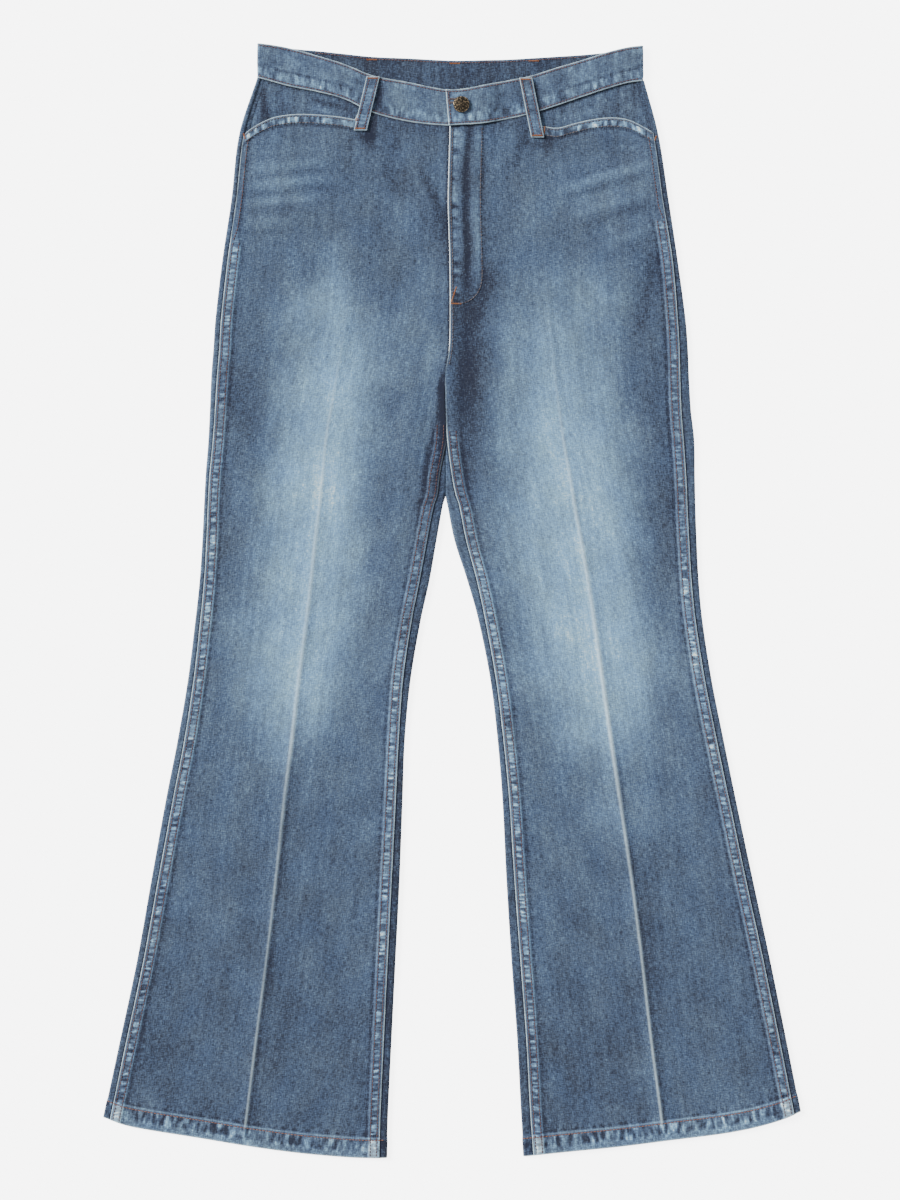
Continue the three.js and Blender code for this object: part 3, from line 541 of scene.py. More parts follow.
def grid_size(middle):
    """Width, length and area of a grid of cloth, in metres."""
    across = np.linalg.norm(np.diff(middle, axis=1), axis=2)
    down = np.linalg.norm(np.diff(middle, axis=0), axis=2)
    area = (mix(across[:-1], across[1:], 0.5) * mix(down[:, :-1], down[:, 1:], 0.5)).sum()
    return across.sum(1).max() * MM, down.sum(0).max() * MM, float(area) * MM * MM


def flat_normals(middle, way):
    """The normals of a flat grid of cloth, 1 for up and -1 for down."""
    normal = np.zeros_like(middle)
    normal[..., 2] = way
    return normal


def finish_cloth(obj, material, nodes):
    """Gives a cloth piece its dye and body, and hides the solids that it stands for."""
    obj.data.materials.append(material)
    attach(obj, BODY)
    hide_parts(*nodes)


# How often a grid whose edge curves need each other is worked out again until it settles
SETTLE_TURNS = 8


def row_heights(nominal, x_at, nominal_top, top_edge, hem_edge, columns):
    """Heights of a grid's points: level in the middle of a panel, bent to its top edge and hem."""
    near_top = 1 - smooth(0, TOP_BLEND, nominal_top - nominal)
    near_hem = smooth(HEM_BLEND_START, HEM_BLEND_END, nominal)
    y = np.repeat(nominal, columns, axis=1)
    for _ in range(SETTLE_TURNS):
        x = x_at(y)
        y = nominal + near_top * (top_edge(x) - nominal_top) + near_hem * (hem_edge(x) - HEM_LINE)
    return y


def graded(start, end, fine, coarse, run):
    """Distances from start to end, fine at both ends and coarse in between."""
    places, at = [], 0.0
    length = abs(end - start)
    while at < length:
        places.append(at)
        near = min(at, length - at)
        at += fine + (coarse - fine) * min(1.0, near / run)
    places.append(length)
    way = 1 if end > start else -1
    return [start + way * place for place in places]


# Places of the front panel's grid: in from each seam, across the pressed line, and in between
EDGE_STEPS = (0, 0.35, 0.8, 1.3, 1.9, 2.6, 3.4, 4.4, 5.5, 6.6, 7.6, 8.4, 9.0, 9.6, 10.3, 11, 11.8,
              12.8, 14.2, 16)
CREASE_STEPS = (-11, -8, -5.6, -3.8, -2.4, -1.4, -0.6, 0, 0.6, 1.4, 2.4, 3.8, 5.6, 8, 11)
PLAIN_STEPS = 17


def front_grid(leg):
    """The front panel's grid of points with its distances from each seam and edge."""
    to = leg.to_inner
    reach = EDGE_STEPS[-1]
    cells = []
    for step in EDGE_STEPS:
        cells.append((1, 0, 0, to * step, 0, 0))
    inside = [(k + 1) / (PLAIN_STEPS + 1) for k in range(PLAIN_STEPS)]
    for w in inside:
        cells.append((1 - w, w, 0, to * mix(reach, CREASE_STEPS[0], w), 0, 0))
    for step in CREASE_STEPS:
        cells.append((0, 1, 0, to * step, 0, float(smooth(0, 7, step))))
    for w in inside:
        cells.append((0, 1 - w, w, to * CREASE_STEPS[-1] * (1 - w), 0, 1))
    for step in reversed(EDGE_STEPS):
        cells.append((0, 0, 0, 0, step, 1))
    from_seam, from_crease, from_inner, shift, inner_step, past_mouth = np.array(cells).T
    is_inner = np.arange(len(cells)) >= len(cells) - len(EDGE_STEPS)

    def place(y):
        fold = Fold(leg, y, "inner")
        wide = mix(1, FLY_WIDTH / FELL_WIDTH, smooth(200, 290, y)) - 1
        spread = inner_step + wide * np.maximum(inner_step - 2.6, 0) * reach / (reach - 2.6)
        x_in, z, nx, nz = fold.at(fold.whole - fold.front_end + spread)
        last = fold.at(fold.whole - fold.front_end + reach * (1 + wide))[0]
        x = from_seam * leg.seam_x(y) + from_crease * leg.crease(y) + from_inner * last + shift
        level = front_level(y)
        one = np.ones_like(y)
        return (np.where(is_inner, x_in, x), np.where(is_inner, z, level),
                np.where(is_inner, nx, 0), np.where(is_inner, nz, one), spread, fold)

    def top_edge(x):
        return mix(leg.mouth(x), waist["front_low"](x) - SEAM_GAP, past_mouth)

    near_top = graded(FRONT_TOP, FRONT_TOP - 16, 0.35, 1.4, 4)
    body = list(np.arange(FRONT_TOP - 18, -516, -2.15))
    near_hem = graded(-517, HEM_LINE, 0.6, 1.0, 5)
    nominal = np.array(near_top + body + near_hem)[:, None]
    y = row_heights(nominal, lambda at: place(at)[0], FRONT_TOP, top_edge, leg.hem, len(cells))
    x, z, nx, nz, spread, fold = place(y)
    outer_d = (x - leg.seam_x(y)) * to
    inner_d = np.where(is_inner, spread, fold.front_end + fold.outward * (fold.centre - x))
    return {
        "x": x, "y": y, "z": z, "normal": np.stack([nx, 0 * nx, nz], -1), "outer": outer_d,
        "inner": inner_d,
        "top": np.where(past_mouth > 0.5, 99, leg.mouth(x) - y) + 0 * y,
        "waist": waist["front_low"](x) - y, "hem": y - leg.hem(x),
    }


# The run along a leg that its gathers cover, and where the curved row of the fly begins to turn in
GATHERED = (-570, 560)
FLY_TURN_Y = 330


def fly_edge(y):
    """Distance from the centre edge to the curved line of stitches that holds the fly."""
    deep = np.clip((FLY_TURN_Y - np.asarray(y, float)) / 33.5, 0, 1)
    return 32 * (1 - deep ** 2.6) ** (1 / 2.6)


def sewn_band(grid, looks, distance, turned_on, single, puckers, seed):
    """Adds the looks of a felled seam, two rows of stitches with gathers between; gives its height.

    distance is measured from the seam's edge and turned_on is 1 where the fell is full; above
    that the seam has a single row of stitches.
    """
    y = grid["y"]
    wave = puckers(y + 0.55 * drift(y, seed + 3, 90) * (distance - 6))
    width = mix(6.5, FELL_WIDTH + 0.4, turned_on)
    flat = smooth(width + 1.0, width - 0.8, distance)
    rows = sum(bell(distance - row, 0.75) for row in SEAM_STITCHES)
    middle = smooth(2.6, 3.8, distance) * smooth(9.6, 8.2, distance)
    beside = bell(distance - 14, 3.2)
    lift = flat * mix(0.3 * single, 0.85, turned_on) - 0.26 * turned_on * rows
    lift += 0.45 * turned_on * middle * wave + 0.2 * beside * wave * mix(0.4 * single, 1, turned_on)
    strong = 1 + 0.22 * drift(y, seed + 5, 60)
    looks["bare"] += smooth(0.75, 0.15, distance) * mix(0.34 * single, 0.53, turned_on) * strong
    thigh = mix(1, 0.72, smooth(20, 160, y))
    looks["gather_down"] += turned_on * strong * thigh * (0.34 * middle + 0.08 * beside)
    looks["wear"] += turned_on * 0.10 * middle * wave
    # Painted highlight on the fell's raised inner edge, and painted shade in the trough beside it
    tone = turned_on * (0.11 * flat + 0.13 * bell(distance - 10.9, 0.9) - 0.06 * rows)
    tone -= turned_on * 0.17 * bell(distance - 13.5, 1.7)
    pressed = 0.06 * bell(distance - 4, 2) - 0.09 * bell(distance - 7.6, 1.5)
    looks["tone"] += tone + (1 - turned_on) * single * pressed
    return lift


def pressed_line(leg, grid, looks, faded, right, grow):
    """A bare, beige line down the leg, with painted shade on the side away from the light and painted light
    on the side towards it.
    """
    y, hem = grid["y"], grid["hem"]
    above_hem = smooth(15, 20, hem)
    uneven = 0.95 + 0.10 * drift(y, leg.seed + 9, 70)
    # faded is the front's tone, its painted shade included
    plain = np.clip((0.86 - faded) / 0.5, 0.12, 1)
    broad = bell(y + 40, 170)
    bare = read_table(LINE_BARE, y, LINE_COLUMNS.index(leg.side)) * above_hem
    looks["bare"] += bare * uneven * np.exp(-np.abs((right + 0.1) / mix(1.3, 2.2, broad)) ** 3)
    shown = grow * smooth(330, 200, y) * above_hem
    looks["tone"] -= shown * 0.14 * (0.1 + 0.9 * plain) * bell(right - 3.2 - broad, 1.6)
    looks["tone"] += shown * (0.04 * bell(right + 6, 5) - 0.045 * bell(right - 7, 6))


def mouth_edge(leg, grid, looks):
    """The pocket mouth: a folded edge with two rows of stitches; gives its height."""
    x, mouth, outer = grid["x"], grid["top"], grid["outer"]
    wave = Puckers(leg.seed + 2, -260, 260, 6.4)(x + 0.5 * mouth)
    hemmed = smooth(9.6, 7.8, mouth) * smooth(0.5, 3.0, outer)
    calmer = mix(0.5, 1, smooth(4, 44, (leg.mouth_end - x) * leg.to_inner))
    first, second = MOUTH_STITCHES
    looks["bare"] += 0.56 * smooth(0.7, 0.1, mouth) * smooth(0.5, 2.0, outer)
    # Painted shadow just below the hemmed edge of the mouth
    looks["tone"] += hemmed * 0.10 - 0.22 * bell(mouth - 10.2, 1.3)
    looks["gather_along"] += hemmed * calmer * 0.44 * smooth(1.6, 2.8, mouth)
    lift = hemmed * 0.5 - 0.22 * (bell(mouth - first, 0.7) + bell(mouth - second, 0.8)) * hemmed
    return lift + 0.3 * hemmed * wave * smooth(2, 4, mouth)


def hem_edge(leg, grid, looks, right):
    """The hem: a turned edge, one row of stitches and gathers under it; gives its height."""
    x, hem = grid["x"], grid["hem"]
    wave = Puckers(leg.seed + 4, -420, 420, 8.6)(x + 0.35 * (hem - 14))
    turned = smooth(HEM_DEPTH + 1.4, HEM_DEPTH - 0.4, hem)
    beneath = smooth(18.0, 16.8, hem) * smooth(3.0, 8.5, hem)
    looks["bare"] += 0.26 * smooth(1.4, 0.4, hem)
    looks["gather_along"] += beneath * 0.36 * (1 + 0.25 * drift(x, leg.seed + 6, 90))
    looks["gather_along"] += 0.16 * bell(hem - 23, 2.5)
    looks["tone"] += 0.05 * turned + 0.33 * bell(hem - (HEM_DEPTH + 0.9), 0.8)
    looks["tone"] -= 0.10 * bell(hem - (HEM_DEPTH + 3.6), 1.6)
    # The seams and the pressed line are rubbed where they cross the hem
    for from_edge in (grid["outer"], grid["inner"]):
        across_fell = smooth(1.0, 2.2, from_edge) * smooth(11.6, 9.6, from_edge)
        looks["bare"] += 0.20 * across_fell * smooth(18.5, 16.5, hem)
    looks["tone"] += 0.09 * bell(right - 2, 5) * smooth(17, 14, hem)
    looks["tone"] -= 0.05 * smooth(8, 4, hem) * smooth(0.5, 3, hem)
    looks["wear"] += 0.2 * smooth(9, 5, hem)
    lift = turned * 0.75 - 0.3 * bell(hem - HEM_STITCHES, 0.8)
    return lift + 0.5 * beneath * wave + 0.25 * bell(hem - 22.5, 3) * wave


def fly_front(grid, looks):
    """The turned edge of the fly on the left panel, its curved row and a long dent with painted light and
    shade beside it; gives its height.
    """
    y, inner = grid["y"], grid["inner"]
    past = fly_edge(y) - inner
    on = smooth(296.5, 299.5, y)
    run = on * smooth(300, 330, y)
    above_crotch = smooth(228, 236, y)
    dip = inner - 17.6 - 1.6 * smooth(430, 475, y) - 0.8 * drift(y, 8, 120)
    # Painted light on the ridge beside the dent and painted shade in the dent; beyond it a paler band
    looks["tone"] += run * (0.13 * bell(dip + 6.4, 1.9) - 0.28 * bell(dip, 3.6))
    looks["tone"] += run * (0.05 + 0.10 * bell(y - 366, 32)) * bell(dip - 9.0, 4)
    looks["tone"] -= run * 0.09 * bell(past + 1.0, 2.0)
    looks["gather_down"] += on * 0.13 * bell(inner - 5.8, 2.8)
    dents = Puckers(77, 180, 560, 9.5)(y + 0.3 * inner)
    looks["tone"] -= on * bell(inner - 6.2, 3.0) * (0.74 * dents - 0.02)
    looks["tone"] += on * (0.05 * bell(inner - 5.5, 2.5) + 0.06 * bell(past - 3.5, 1.8))
    looks["tone"] -= on * 0.06 * bell(past + 2.5, 2)
    looks["gather_down"] += on * 0.07 * bell(past, 4)
    looks["bare"] += above_crotch * 0.62 * smooth(0.7, 0.1, inner) * mix(0.45, 1, on)
    looks["tone"] -= 0.12 * above_crotch * (1 - on) * bell(inner - 4, 2.5)
    looks["tone"] -= 0.20 * on * bell(inner - 2.4, 0.8)
    lift = on * (0.5 * smooth(-1.2, 1.2, past) - 0.26 * bell(past, 0.9))
    return lift + run * (0.5 * bell(dip + 6.5, 3) - 0.8 * bell(dip, 3.0) + 0.35 * bell(dip - 7.5, 4))


def crotch_shades(leg, grid, looks):
    """Where the legs and the fronts meet: the left leg's rubbed edge, and its shadow on the right."""
    y, inner = grid["y"], grid["inner"]
    if leg.side == "left":
        touching = smooth(238, 222, y) * smooth(140, 170, y)
        looks["bare"] += 0.08 * touching * smooth(1.4, 0.3, inner)
        return
    # Painted shadow of the left front's fly edge along the right front
    looks["tone"] -= smooth(225, 240, y) * 0.26 * smooth(3.0, 0.8, inner)
    looks["tone"] += 0.03 * smooth(300, 320, y) * bell(inner - 7, 4)
    reach, deep = read_table(LEG_SHADOW_REACH, y), read_table(LEG_SHADOW_TONE, y)
    shade = smooth(reach + 1.6, reach - 1.6, inner)
    hides = shade * np.minimum(deep / 0.16, 1)
    looks["tone"] -= deep * shade + 0.95 * deep * smooth(8.0, 4.5, inner) * smooth(90, 125, y)
    looks["bare"] *= 1 - 0.8 * hides
    looks["gather_down"] *= 1 - 0.45 * hides


def front_panel(leg, material):
    grid = front_grid(leg)
    x, y, hem, outer, inner = (grid[key] for key in ("x", "y", "hem", "outer", "inner"))
    right = x - leg.crease(y) - LINE_ASIDE
    calm = smooth(0.5, 14, outer) * smooth(1, 12, inner) * smooth(2, 20, hem)
    calm *= smooth(1, 14, grid["top"]) * smooth(0, 12, grid["waist"])
    grow = mix(0.25, 1, smooth(280, -140, y)) * (1 - smooth(300, 380, y))
    ridge = 1.25 * np.exp(-np.abs(right) / 4.6) + 0.35 * bell(right, 1.6)
    relief = calm * folds_at(FRONT_FOLDS, x, y) + grow * ridge * smooth(2, 16, hem)
    relief += calm * 0.22 * (drift(y, leg.seed + 40, 130) + drift(x + 0.3 * y, leg.seed + 41, 110))

    # faded holds the front's tone: its fade together with the painted shadows and shade of SPOTS and
    # STREAKS
    faded = faded_and_shaded_tone(leg, x, y)
    looks = Looks(x, faded)
    fell_on = smooth(leg.fell_top + 14, leg.fell_top - 8, y)
    inner_on = smooth(leg.inner_top + 14, leg.inner_top - 12, y)
    outseam, inseam = Puckers(leg.seed, *GATHERED, 6.4), Puckers(leg.seed + 1, *GATHERED, 6.2)
    lift = sewn_band(grid, looks, outer, fell_on, 1.0, outseam, leg.seed)
    lift += sewn_band(grid, looks, inner, inner_on, 0.0, inseam, leg.seed + 7)
    pressed_line(leg, grid, looks, faded, right, grow)
    lift += mouth_edge(leg, grid, looks)
    lift += hem_edge(leg, grid, looks, right)
    # Waist seam: a shadow where the cloth runs in under the band
    looks["tone"] -= 0.24 * smooth(3.2, 0.8, grid["waist"]) + 0.07 * bell(grid["waist"] - 5, 4)
    if leg.side == "left":
        lift += fly_front(grid, looks)
    crotch_shades(leg, grid, looks)

    middle = np.stack([x, y, grid["z"]], -1) + grid["normal"] * relief[..., None]
    uv = np.stack([right + DYE_SHIFT[f"front_{leg.side}"], y], -1)
    obj = closed_cloth(f"front_denim_{leg.side}", middle, grid["normal"], CLOTH_HALF + lift,
                       np.full_like(x, CLOTH_HALF), uv, looks)
    finish_cloth(obj, material, [f"front_panel_{leg.side}"])
    return obj


# Painted shade: how much darker the back shows beyond the outseam and the inseam of each leg
LIP_SHADE = {"right": (-0.04, -0.19), "left": (-0.14, -0.07)}
BACK_EDGE_PARTS = 22
BACK_PLAIN_STEPS = 30
# How far the back runs under the front past each seam, and the least cloth that its edge parts span
BACK_LAP, BACK_EDGE_RUN = 5.0, 6.0


def back_panel(leg, material):
    """From under the front at the outseam, round beneath the leg, to under it at the inseam."""
    parts = np.linspace(0, 1, BACK_EDGE_PARTS)
    plain = (np.arange(BACK_PLAIN_STEPS) + 1) / (BACK_PLAIN_STEPS + 1)
    cells = ([(0, 1 - p) for p in parts] + [(1, w) for w in plain] + [(2, p) for p in parts])
    kind, value = np.array(cells).T

    def ends(y, side):
        fold = Fold(leg, y, side)
        end = fold.back_end + BACK_LAP * fold.tuck
        return fold, end, np.maximum(end, BACK_EDGE_RUN)

    def pick(outer, flat, inner):
        return np.where(kind == 0, outer, np.where(kind == 1, flat, inner))

    def top_edge(x):
        return waist["back_low"](x) - SEAM_GAP

    def place(y):
        out, out_end, out_run = ends(y, "outer")
        inn, in_end, in_run = ends(y, "inner")
        s_out = out_end - out_run * (1 - value)
        s_in = in_end - in_run * (1 - value)
        xo, zo, nxo, nzo = out.at(s_out)
        xi, zi, nxi, nzi = inn.at(s_in)
        first, last = out.at(out_end - out_run)[0], inn.at(in_end - in_run)[0]
        s = pick(s_out - out.back_end, -60, s_in - inn.back_end)
        tuck = pick(out.tuck, 0, inn.tuck)
        return (pick(xo, mix(first, last, value), xi), pick(zo, back_level(y), zi),
                pick(nxo, 0, nxi), pick(nzo, -1, nzi), s, tuck)

    near_hem = graded(-517, HEM_LINE, 0.8, 1.6, 6)
    nominal = np.array(graded(BACK_TOP, -516, 1.0, 3.1, 12) + near_hem)[:, None]
    y = row_heights(nominal, lambda at: place(at)[0], BACK_TOP, top_edge, leg.hem, len(cells))
    x, z, nx, nz, past_seam, tuck = place(y)
    normal = np.stack([nx, 0 * nx, nz], -1)
    drop = 1.3 * tuck * smooth(-0.2, 1.4, past_seam)
    outer_side, hidden = kind == 0, smooth(-0.5, -0.98, nz)
    wave = Puckers(leg.seed + 30, *GATHERED, 8.4)(y)
    hem = y - leg.hem(x)
    calm = smooth(4, 30, hem) * smooth(6, 40, waist["back_low"](x) - y)
    relief = np.minimum(-hidden * calm * folds_at(BACK_FOLDS, x, y), 0.12)
    turned = smooth(HEM_DEPTH + 1.4, HEM_DEPTH - 0.4, hem) * (1 - hidden)
    lift = 0.2 * bell(past_seam + 2.5, 2) * wave * (1 - hidden)
    lift += 0.5 * turned - 0.2 * bell(hem - HEM_STITCHES, 0.8) * (1 - hidden)
    base = tone_down(y) - 0.02 * smooth(200, -200, y)
    side = (x - leg.thigh_middle(y)) * leg.to_inner
    pale = 0.45 * np.maximum(leg.thigh_pale(y), 0) * np.exp(-(np.abs(side) / 70) ** 2)
    shade_outer, shade_inner = LIP_SHADE[leg.side]
    shade_outer = mix(shade_outer - 0.05 * smooth(180, 260, y), -0.02, smooth(430, 470, y))
    shade = np.where(outer_side, shade_outer, shade_inner)
    looks = Looks(x, mix(base + shade, base - 0.03 + pale, hidden))
    # Painted shade in the groove where the back meets the front's edge at the seam
    looks["tone"] -= 0.36 * smooth(-1.7, -0.4, past_seam) * (1 - 0.6 * smooth(455, 470, y))
    looks["wear"] += (0.05 * bell(past_seam + 4, 2.5) + 0.10 * wave * bell(past_seam + 3, 2.5)
                      + (1 - hidden) * 0.07 * smooth(-7, -9, past_seam))
    looks["bare"] += 0.26 * smooth(1.4, 0.4, hem)
    looks["tone"] += 0.14 * bell(hem - (HEM_DEPTH + 0.9), 0.8)
    looks["gather_along"] += 0.3 * smooth(18, 16.8, hem) * smooth(4, 9, hem)
    centre = np.abs(x - leg.inner(y)) * smooth(PART_END_Y - 10, PART_START_Y, y)
    seat = hidden * smooth(PART_START_Y - 10, PART_START_Y, y)
    looks["bare"] += seat * 0.5 * smooth(1.6, 0.6, centre)
    looks["gather_down"] += seat * 0.2 * bell(centre - 6, 3)
    middle = np.stack([x, y, z], -1) + normal * (relief - drop)[..., None]
    steps = np.linalg.norm(np.diff(middle, axis=1), axis=2)
    arc = np.concatenate([np.zeros((len(y), 1)), np.cumsum(steps, 1)], 1)
    uv = np.stack([arc + DYE_SHIFT[f"back_{leg.side}"], y], -1)
    obj = closed_cloth(f"back_denim_{leg.side}", middle, normal, CLOTH_HALF + lift,
                       np.full_like(x, CLOTH_HALF), uv, looks)
    finish_cloth(obj, material, [f"back_panel_{leg.side}"])
    return obj


FACING_ROWS, FACING_COLUMNS = 34, 56
# How far the facing runs under the front panel: past the mouth's end, above it, and below its edge
FACING_PAST, FACING_TUCK, FACING_UNDER = 12, 3.5, 7
FACING_TONE = {"right": 0.30, "left": 0.32}


def pocket_facing(leg, material):
    to = leg.to_inner
    across = np.linspace(0, 1, FACING_COLUMNS)[None, :]
    down = np.linspace(0, 1, FACING_ROWS)[:, None]
    end_x = leg.mouth_end + to * FACING_PAST
    y = np.full((FACING_ROWS, FACING_COLUMNS), FRONT_TOP)
    for _ in range(SETTLE_TURNS):
        x = mix(leg.seam_x(y), end_x, across)
        tuck = np.minimum(waist["front_low"](x) + FACING_TUCK, waist["back_low"](x) - 0.5)
        y = mix(tuck, leg.mouth(x) - FACING_UNDER, down)
    from_seam = (x - leg.seam_x(y)) * to
    height = waist["front_low"](x) - y
    soft = smooth(1, 6, from_seam) * smooth(0, 6, height)
    folds = -0.4 * bell(from_seam - 22 - 0.15 * height, 3.2) + 0.18 * drift(x, leg.seed + 50, 40)
    z = front_level(y) - 1.4 + np.minimum(soft * folds, 0.2)
    looks = Looks(x, FACING_TONE[leg.side] + streaks_at(FACING_FOLDS, x, y, 0.3, 0.25))
    # Painted shadows under the band's edge and under the pocket mouth
    looks["tone"] -= 0.16 * smooth(4.5, 1, height) + 0.12 * smooth(1.5, -2.5, y - leg.mouth(x))
    looks["wear"] += 0.05 * bell(from_seam - 6, 2)
    looks["bare"] += 0.4 * smooth(1.4, 0.5, from_seam)
    middle = np.stack([x, y, z], -1)
    half = np.full_like(x, FACING_HALF)
    uv = np.stack([x + DYE_SHIFT["facing"], y], -1)
    obj = closed_cloth(f"pocket_facing_denim_{leg.side}", middle, flat_normals(middle, 1), half, half,
                       uv, looks, rim=0.2)
    finish_cloth(obj, material, [f"pocket_facing_{leg.side}"])
    return obj


BAND_TURN_PARTS = 12


def waistband_ring():
    """Places round the band, from its over end at the fly to its under end."""
    radius = (BAND_FRONT_LEVEL - BAND_BACK_LEVEL) / 2
    reach = radius + BAND_HALF + 0.1
    turn_left, turn_right = WAIST[-1][0] - reach, WAIST[0][0] + reach
    places = []

    def flat(x, z, front):
        places.append((x, z, 0, 1 if front else -1, front))

    def turn(centre, outward, from_top):
        for part in range(1, BAND_TURN_PARTS):
            a = part * math.pi / BAND_TURN_PARTS
            a = math.pi - a if from_top else a
            places.append((centre + outward * radius * math.sin(a),
                           BAND_BACK_LEVEL + radius - radius * math.cos(a),
                           outward * math.sin(a), -math.cos(a), a > math.pi / 2))

    for x in graded(BAND_OVER_END_LOW, turn_left, 0.5, 1.9, 6):
        lowered = float(smooth(BAND_OVER_FLAT, BAND_OVER_DOWN, x))
        flat(x, mix(BAND_OVER_LEVEL, BAND_FRONT_LEVEL, lowered), True)
    turn(turn_left, 1, True)
    for x in graded(turn_left, turn_right, 1.2, 2.6, 6):
        flat(x, BAND_BACK_LEVEL, False)
    turn(turn_right, -1, False)
    for x in graded(turn_right, BAND_UNDER_END, 0.8, 1.9, 6):
        flat(x, BAND_FRONT_LEVEL, True)
    return np.array(places, float)


# Shaded and rubbed places on the band, in the same columns as SPOTS
BAND_SPOTS = (
    (-73.4, 502, 5.2, 21, -13, -0.42), (85.2, 504, 4.8, 19, 13, -0.30), (69.0, 503, 3.4, 17, 13, -0.14),
    (-62, 505, 9, 8, 30, 0.10), (-46, 497, 12, 8, 20, 0.06), (-28, 504, 8, 8, 30, -0.12),
    (-90, 516, 9, 10, -20, -0.05), (-14, 500, 6, 12, 0, 0.05), (2, 484, 7, 6, 0, 0.05),
    (24, 492, 8, 9, 0, 0.05), (31, 503, 2.6, 8, -12, -0.12), (36, 499, 2.4, 9, -14, 0.08),
    (-22, 492, 9, 5, 10, 0.06), (-36, 508, 7, 4, 30, -0.08), (52, 512, 7, 3, 20, 0.07),
    (2.0, 502.8, 9.5, 1.2, 40, 0.17), (-2.8, 504.6, 3.6, 2.4, 35, -0.16),
    (44, 506, 10, 9, -20, -0.06), (60, 498, 8, 8, -20, 0.07), (104, 518, 10, 9, -20, -0.06),
    (130, 524, 14, 8, -20, 0.06), (165, 538, 14, 10, -20, 0.05), (-150, 538, 22, 9, 20, 0.06),
    (-115, 524, 16, 7, 20, 0.05), (-180, 546, 9, 10, 0, 0.04),
)
# The grid's places from the band's top edge, at 0, to its low edge, at 1
BAND_ROWS = (0, 0.012, 0.03, 0.055, 0.085, 0.12, 0.17, 0.24, 0.32, 0.41, 0.5, 0.58, 0.65, 0.71, 0.76,
             0.81, 0.86, 0.9, 0.93, 0.955, 0.975, 0.99, 1)


def waistband(material):
    ring = waistband_ring()
    w = np.array(BAND_ROWS)[None, :]
    x, z, nx, nz, front = (np.repeat(ring[:, k:k + 1], len(BAND_ROWS), 1) for k in range(5))
    start = smooth(22, 0, x) * smooth(BAND_OVER_LEVEL - 1.5, BAND_OVER_LEVEL, z)
    x = x + start * (mix(BAND_OVER_END_TOP, BAND_OVER_END_LOW, w) - BAND_OVER_END_LOW)
    shown = front > 0.5
    top = np.where(shown, waist["front_top"](x), waist["back_top"](x))
    low = np.where(shown, waist["front_low"](x), waist["back_low"](x))
    y = mix(top, low, w)
    from_top, from_low = (top - y), (y - low)
    middle = np.stack([x, y, z], -1)
    normal = np.stack([nx, 0 * nx, nz], -1)
    step = np.linalg.norm(np.diff(middle[:, len(BAND_ROWS) // 2], axis=0), axis=1)
    arc = np.concatenate([[0], np.cumsum(step)])[:, None] + 0 * w
    low_waves, top_waves = Puckers(301, -20, 900, 10.4), Puckers(302, -20, 900, 8.5)
    wave_low, wave_top = low_waves(arc + 0.4 * from_low), top_waves(arc - 0.3 * from_top)
    rows = bell(from_top - BAND_STITCHES, 0.8) + bell(from_low - BAND_STITCHES, 0.8)
    from_edge = np.minimum(from_top, from_low)
    up = 0.92 + 0.12 * smooth(2, 8, from_edge) - 0.24 * rows
    up = up + 0.4 * wave_low * smooth(1.8, 4, from_low) * smooth(14, 8, from_low)
    up = up + 0.16 * wave_top * smooth(1.8, 4, from_top) * smooth(10, 5, from_top)
    up = up - 0.22 * bell(arc - 2.2, 0.9)
    down = np.full_like(up, 0.95)
    # The face that shows inside the back of the band, with one soft upright fold
    inner_fold = 0.5 * bell(x + 29, 5) * smooth(0, 8, from_top) * 0.5
    down = down + ~shown * (inner_fold - 0.12 * bell(from_top - BAND_STITCHES, 0.8))
    looks = Looks(x, 0.375 + 0.04 * smooth(22, 4, from_top))
    looks["tone"] += 0.035 * drift(arc, 61, 60) + 0.025 * drift(arc + 2.5 * y, 62, 45)
    looks["tone"] += 0.03 * smooth(60, -20, x) * smooth(-120, -20, x)
    for *spot, amount in BAND_SPOTS:
        soft = amount * spot_at(x, y, *spot) * shown
        looks["tone"] += soft
        up = up + 1.6 * soft * smooth(1.5, 4, from_edge)
    # Beyond the front loops the band is pressed into a line above its gathers, with a painted highlight
    # above the line and painted shade below it
    pressed = (smooth(-94, -104, x) + smooth(102, 112, x)) * shown
    depth = from_low - 14 - 0.8 * drift(arc, 66, 50)
    looks["tone"] += pressed * (0.10 * bell(depth - 1.8, 1.8) - 0.17 * bell(depth + 0.9, 1.3))
    up = up + pressed * (0.25 * bell(depth - 1.5, 2.0) - 0.25 * bell(depth + 1.2, 1.6))
    looks["bare"] += 0.38 * smooth(0.8, 0.1, from_top) * (1 + 0.3 * drift(arc, 63, 40))
    looks["bare"] += 0.5 * smooth(0.65, 0.05, from_low) * (1 + 0.25 * drift(arc, 68, 50))
    looks["bare"] += 0.62 * smooth(0.8, 0.1, arc)
    looks["bare"] = np.minimum(looks["bare"], 0.8)
    patchy = 1 + 0.3 * drift(arc, 67, 70)
    past_row, below = smooth(2.2, 3.6, from_low), smooth(15, 9, from_low)
    looks["wear"] += 0.20 * wave_low * past_row * below
    looks["gather_along"] += 0.22 * patchy * past_row * mix(below, smooth(13.4, 12, from_low), pressed)
    looks["gather_along"] += 0.10 * smooth(2.2, 3.6, from_top) * smooth(9, 5, from_top)
    looks["tone"] -= 0.08 * rows - 0.05 * smooth(13, 8, from_low)
    inside = 0.195 + 0.03 * drift(arc, 64, 70) - 0.07 * bell(x + 33, 4) + 0.07 * bell(x + 26, 4)
    inside = inside - 0.05 * bell(x + 72, 8) + 0.05 * bell(x - 4, 7) - 0.06 * bell(x - 12, 4)
    inside = inside + 0.20 * smooth(1.4, 0.4, from_top) - 0.04 * bell(from_top - 3.2, 1.4)
    uv = np.stack([arc + DYE_SHIFT["band"], y], -1)
    size = grid_size(middle.transpose(1, 0, 2))
    obj = closed_cloth("waistband_denim", middle, normal, up, down, uv, looks, inside=inside, rim=0.45)
    finish_cloth(obj, material, ["waistband"])
    return obj


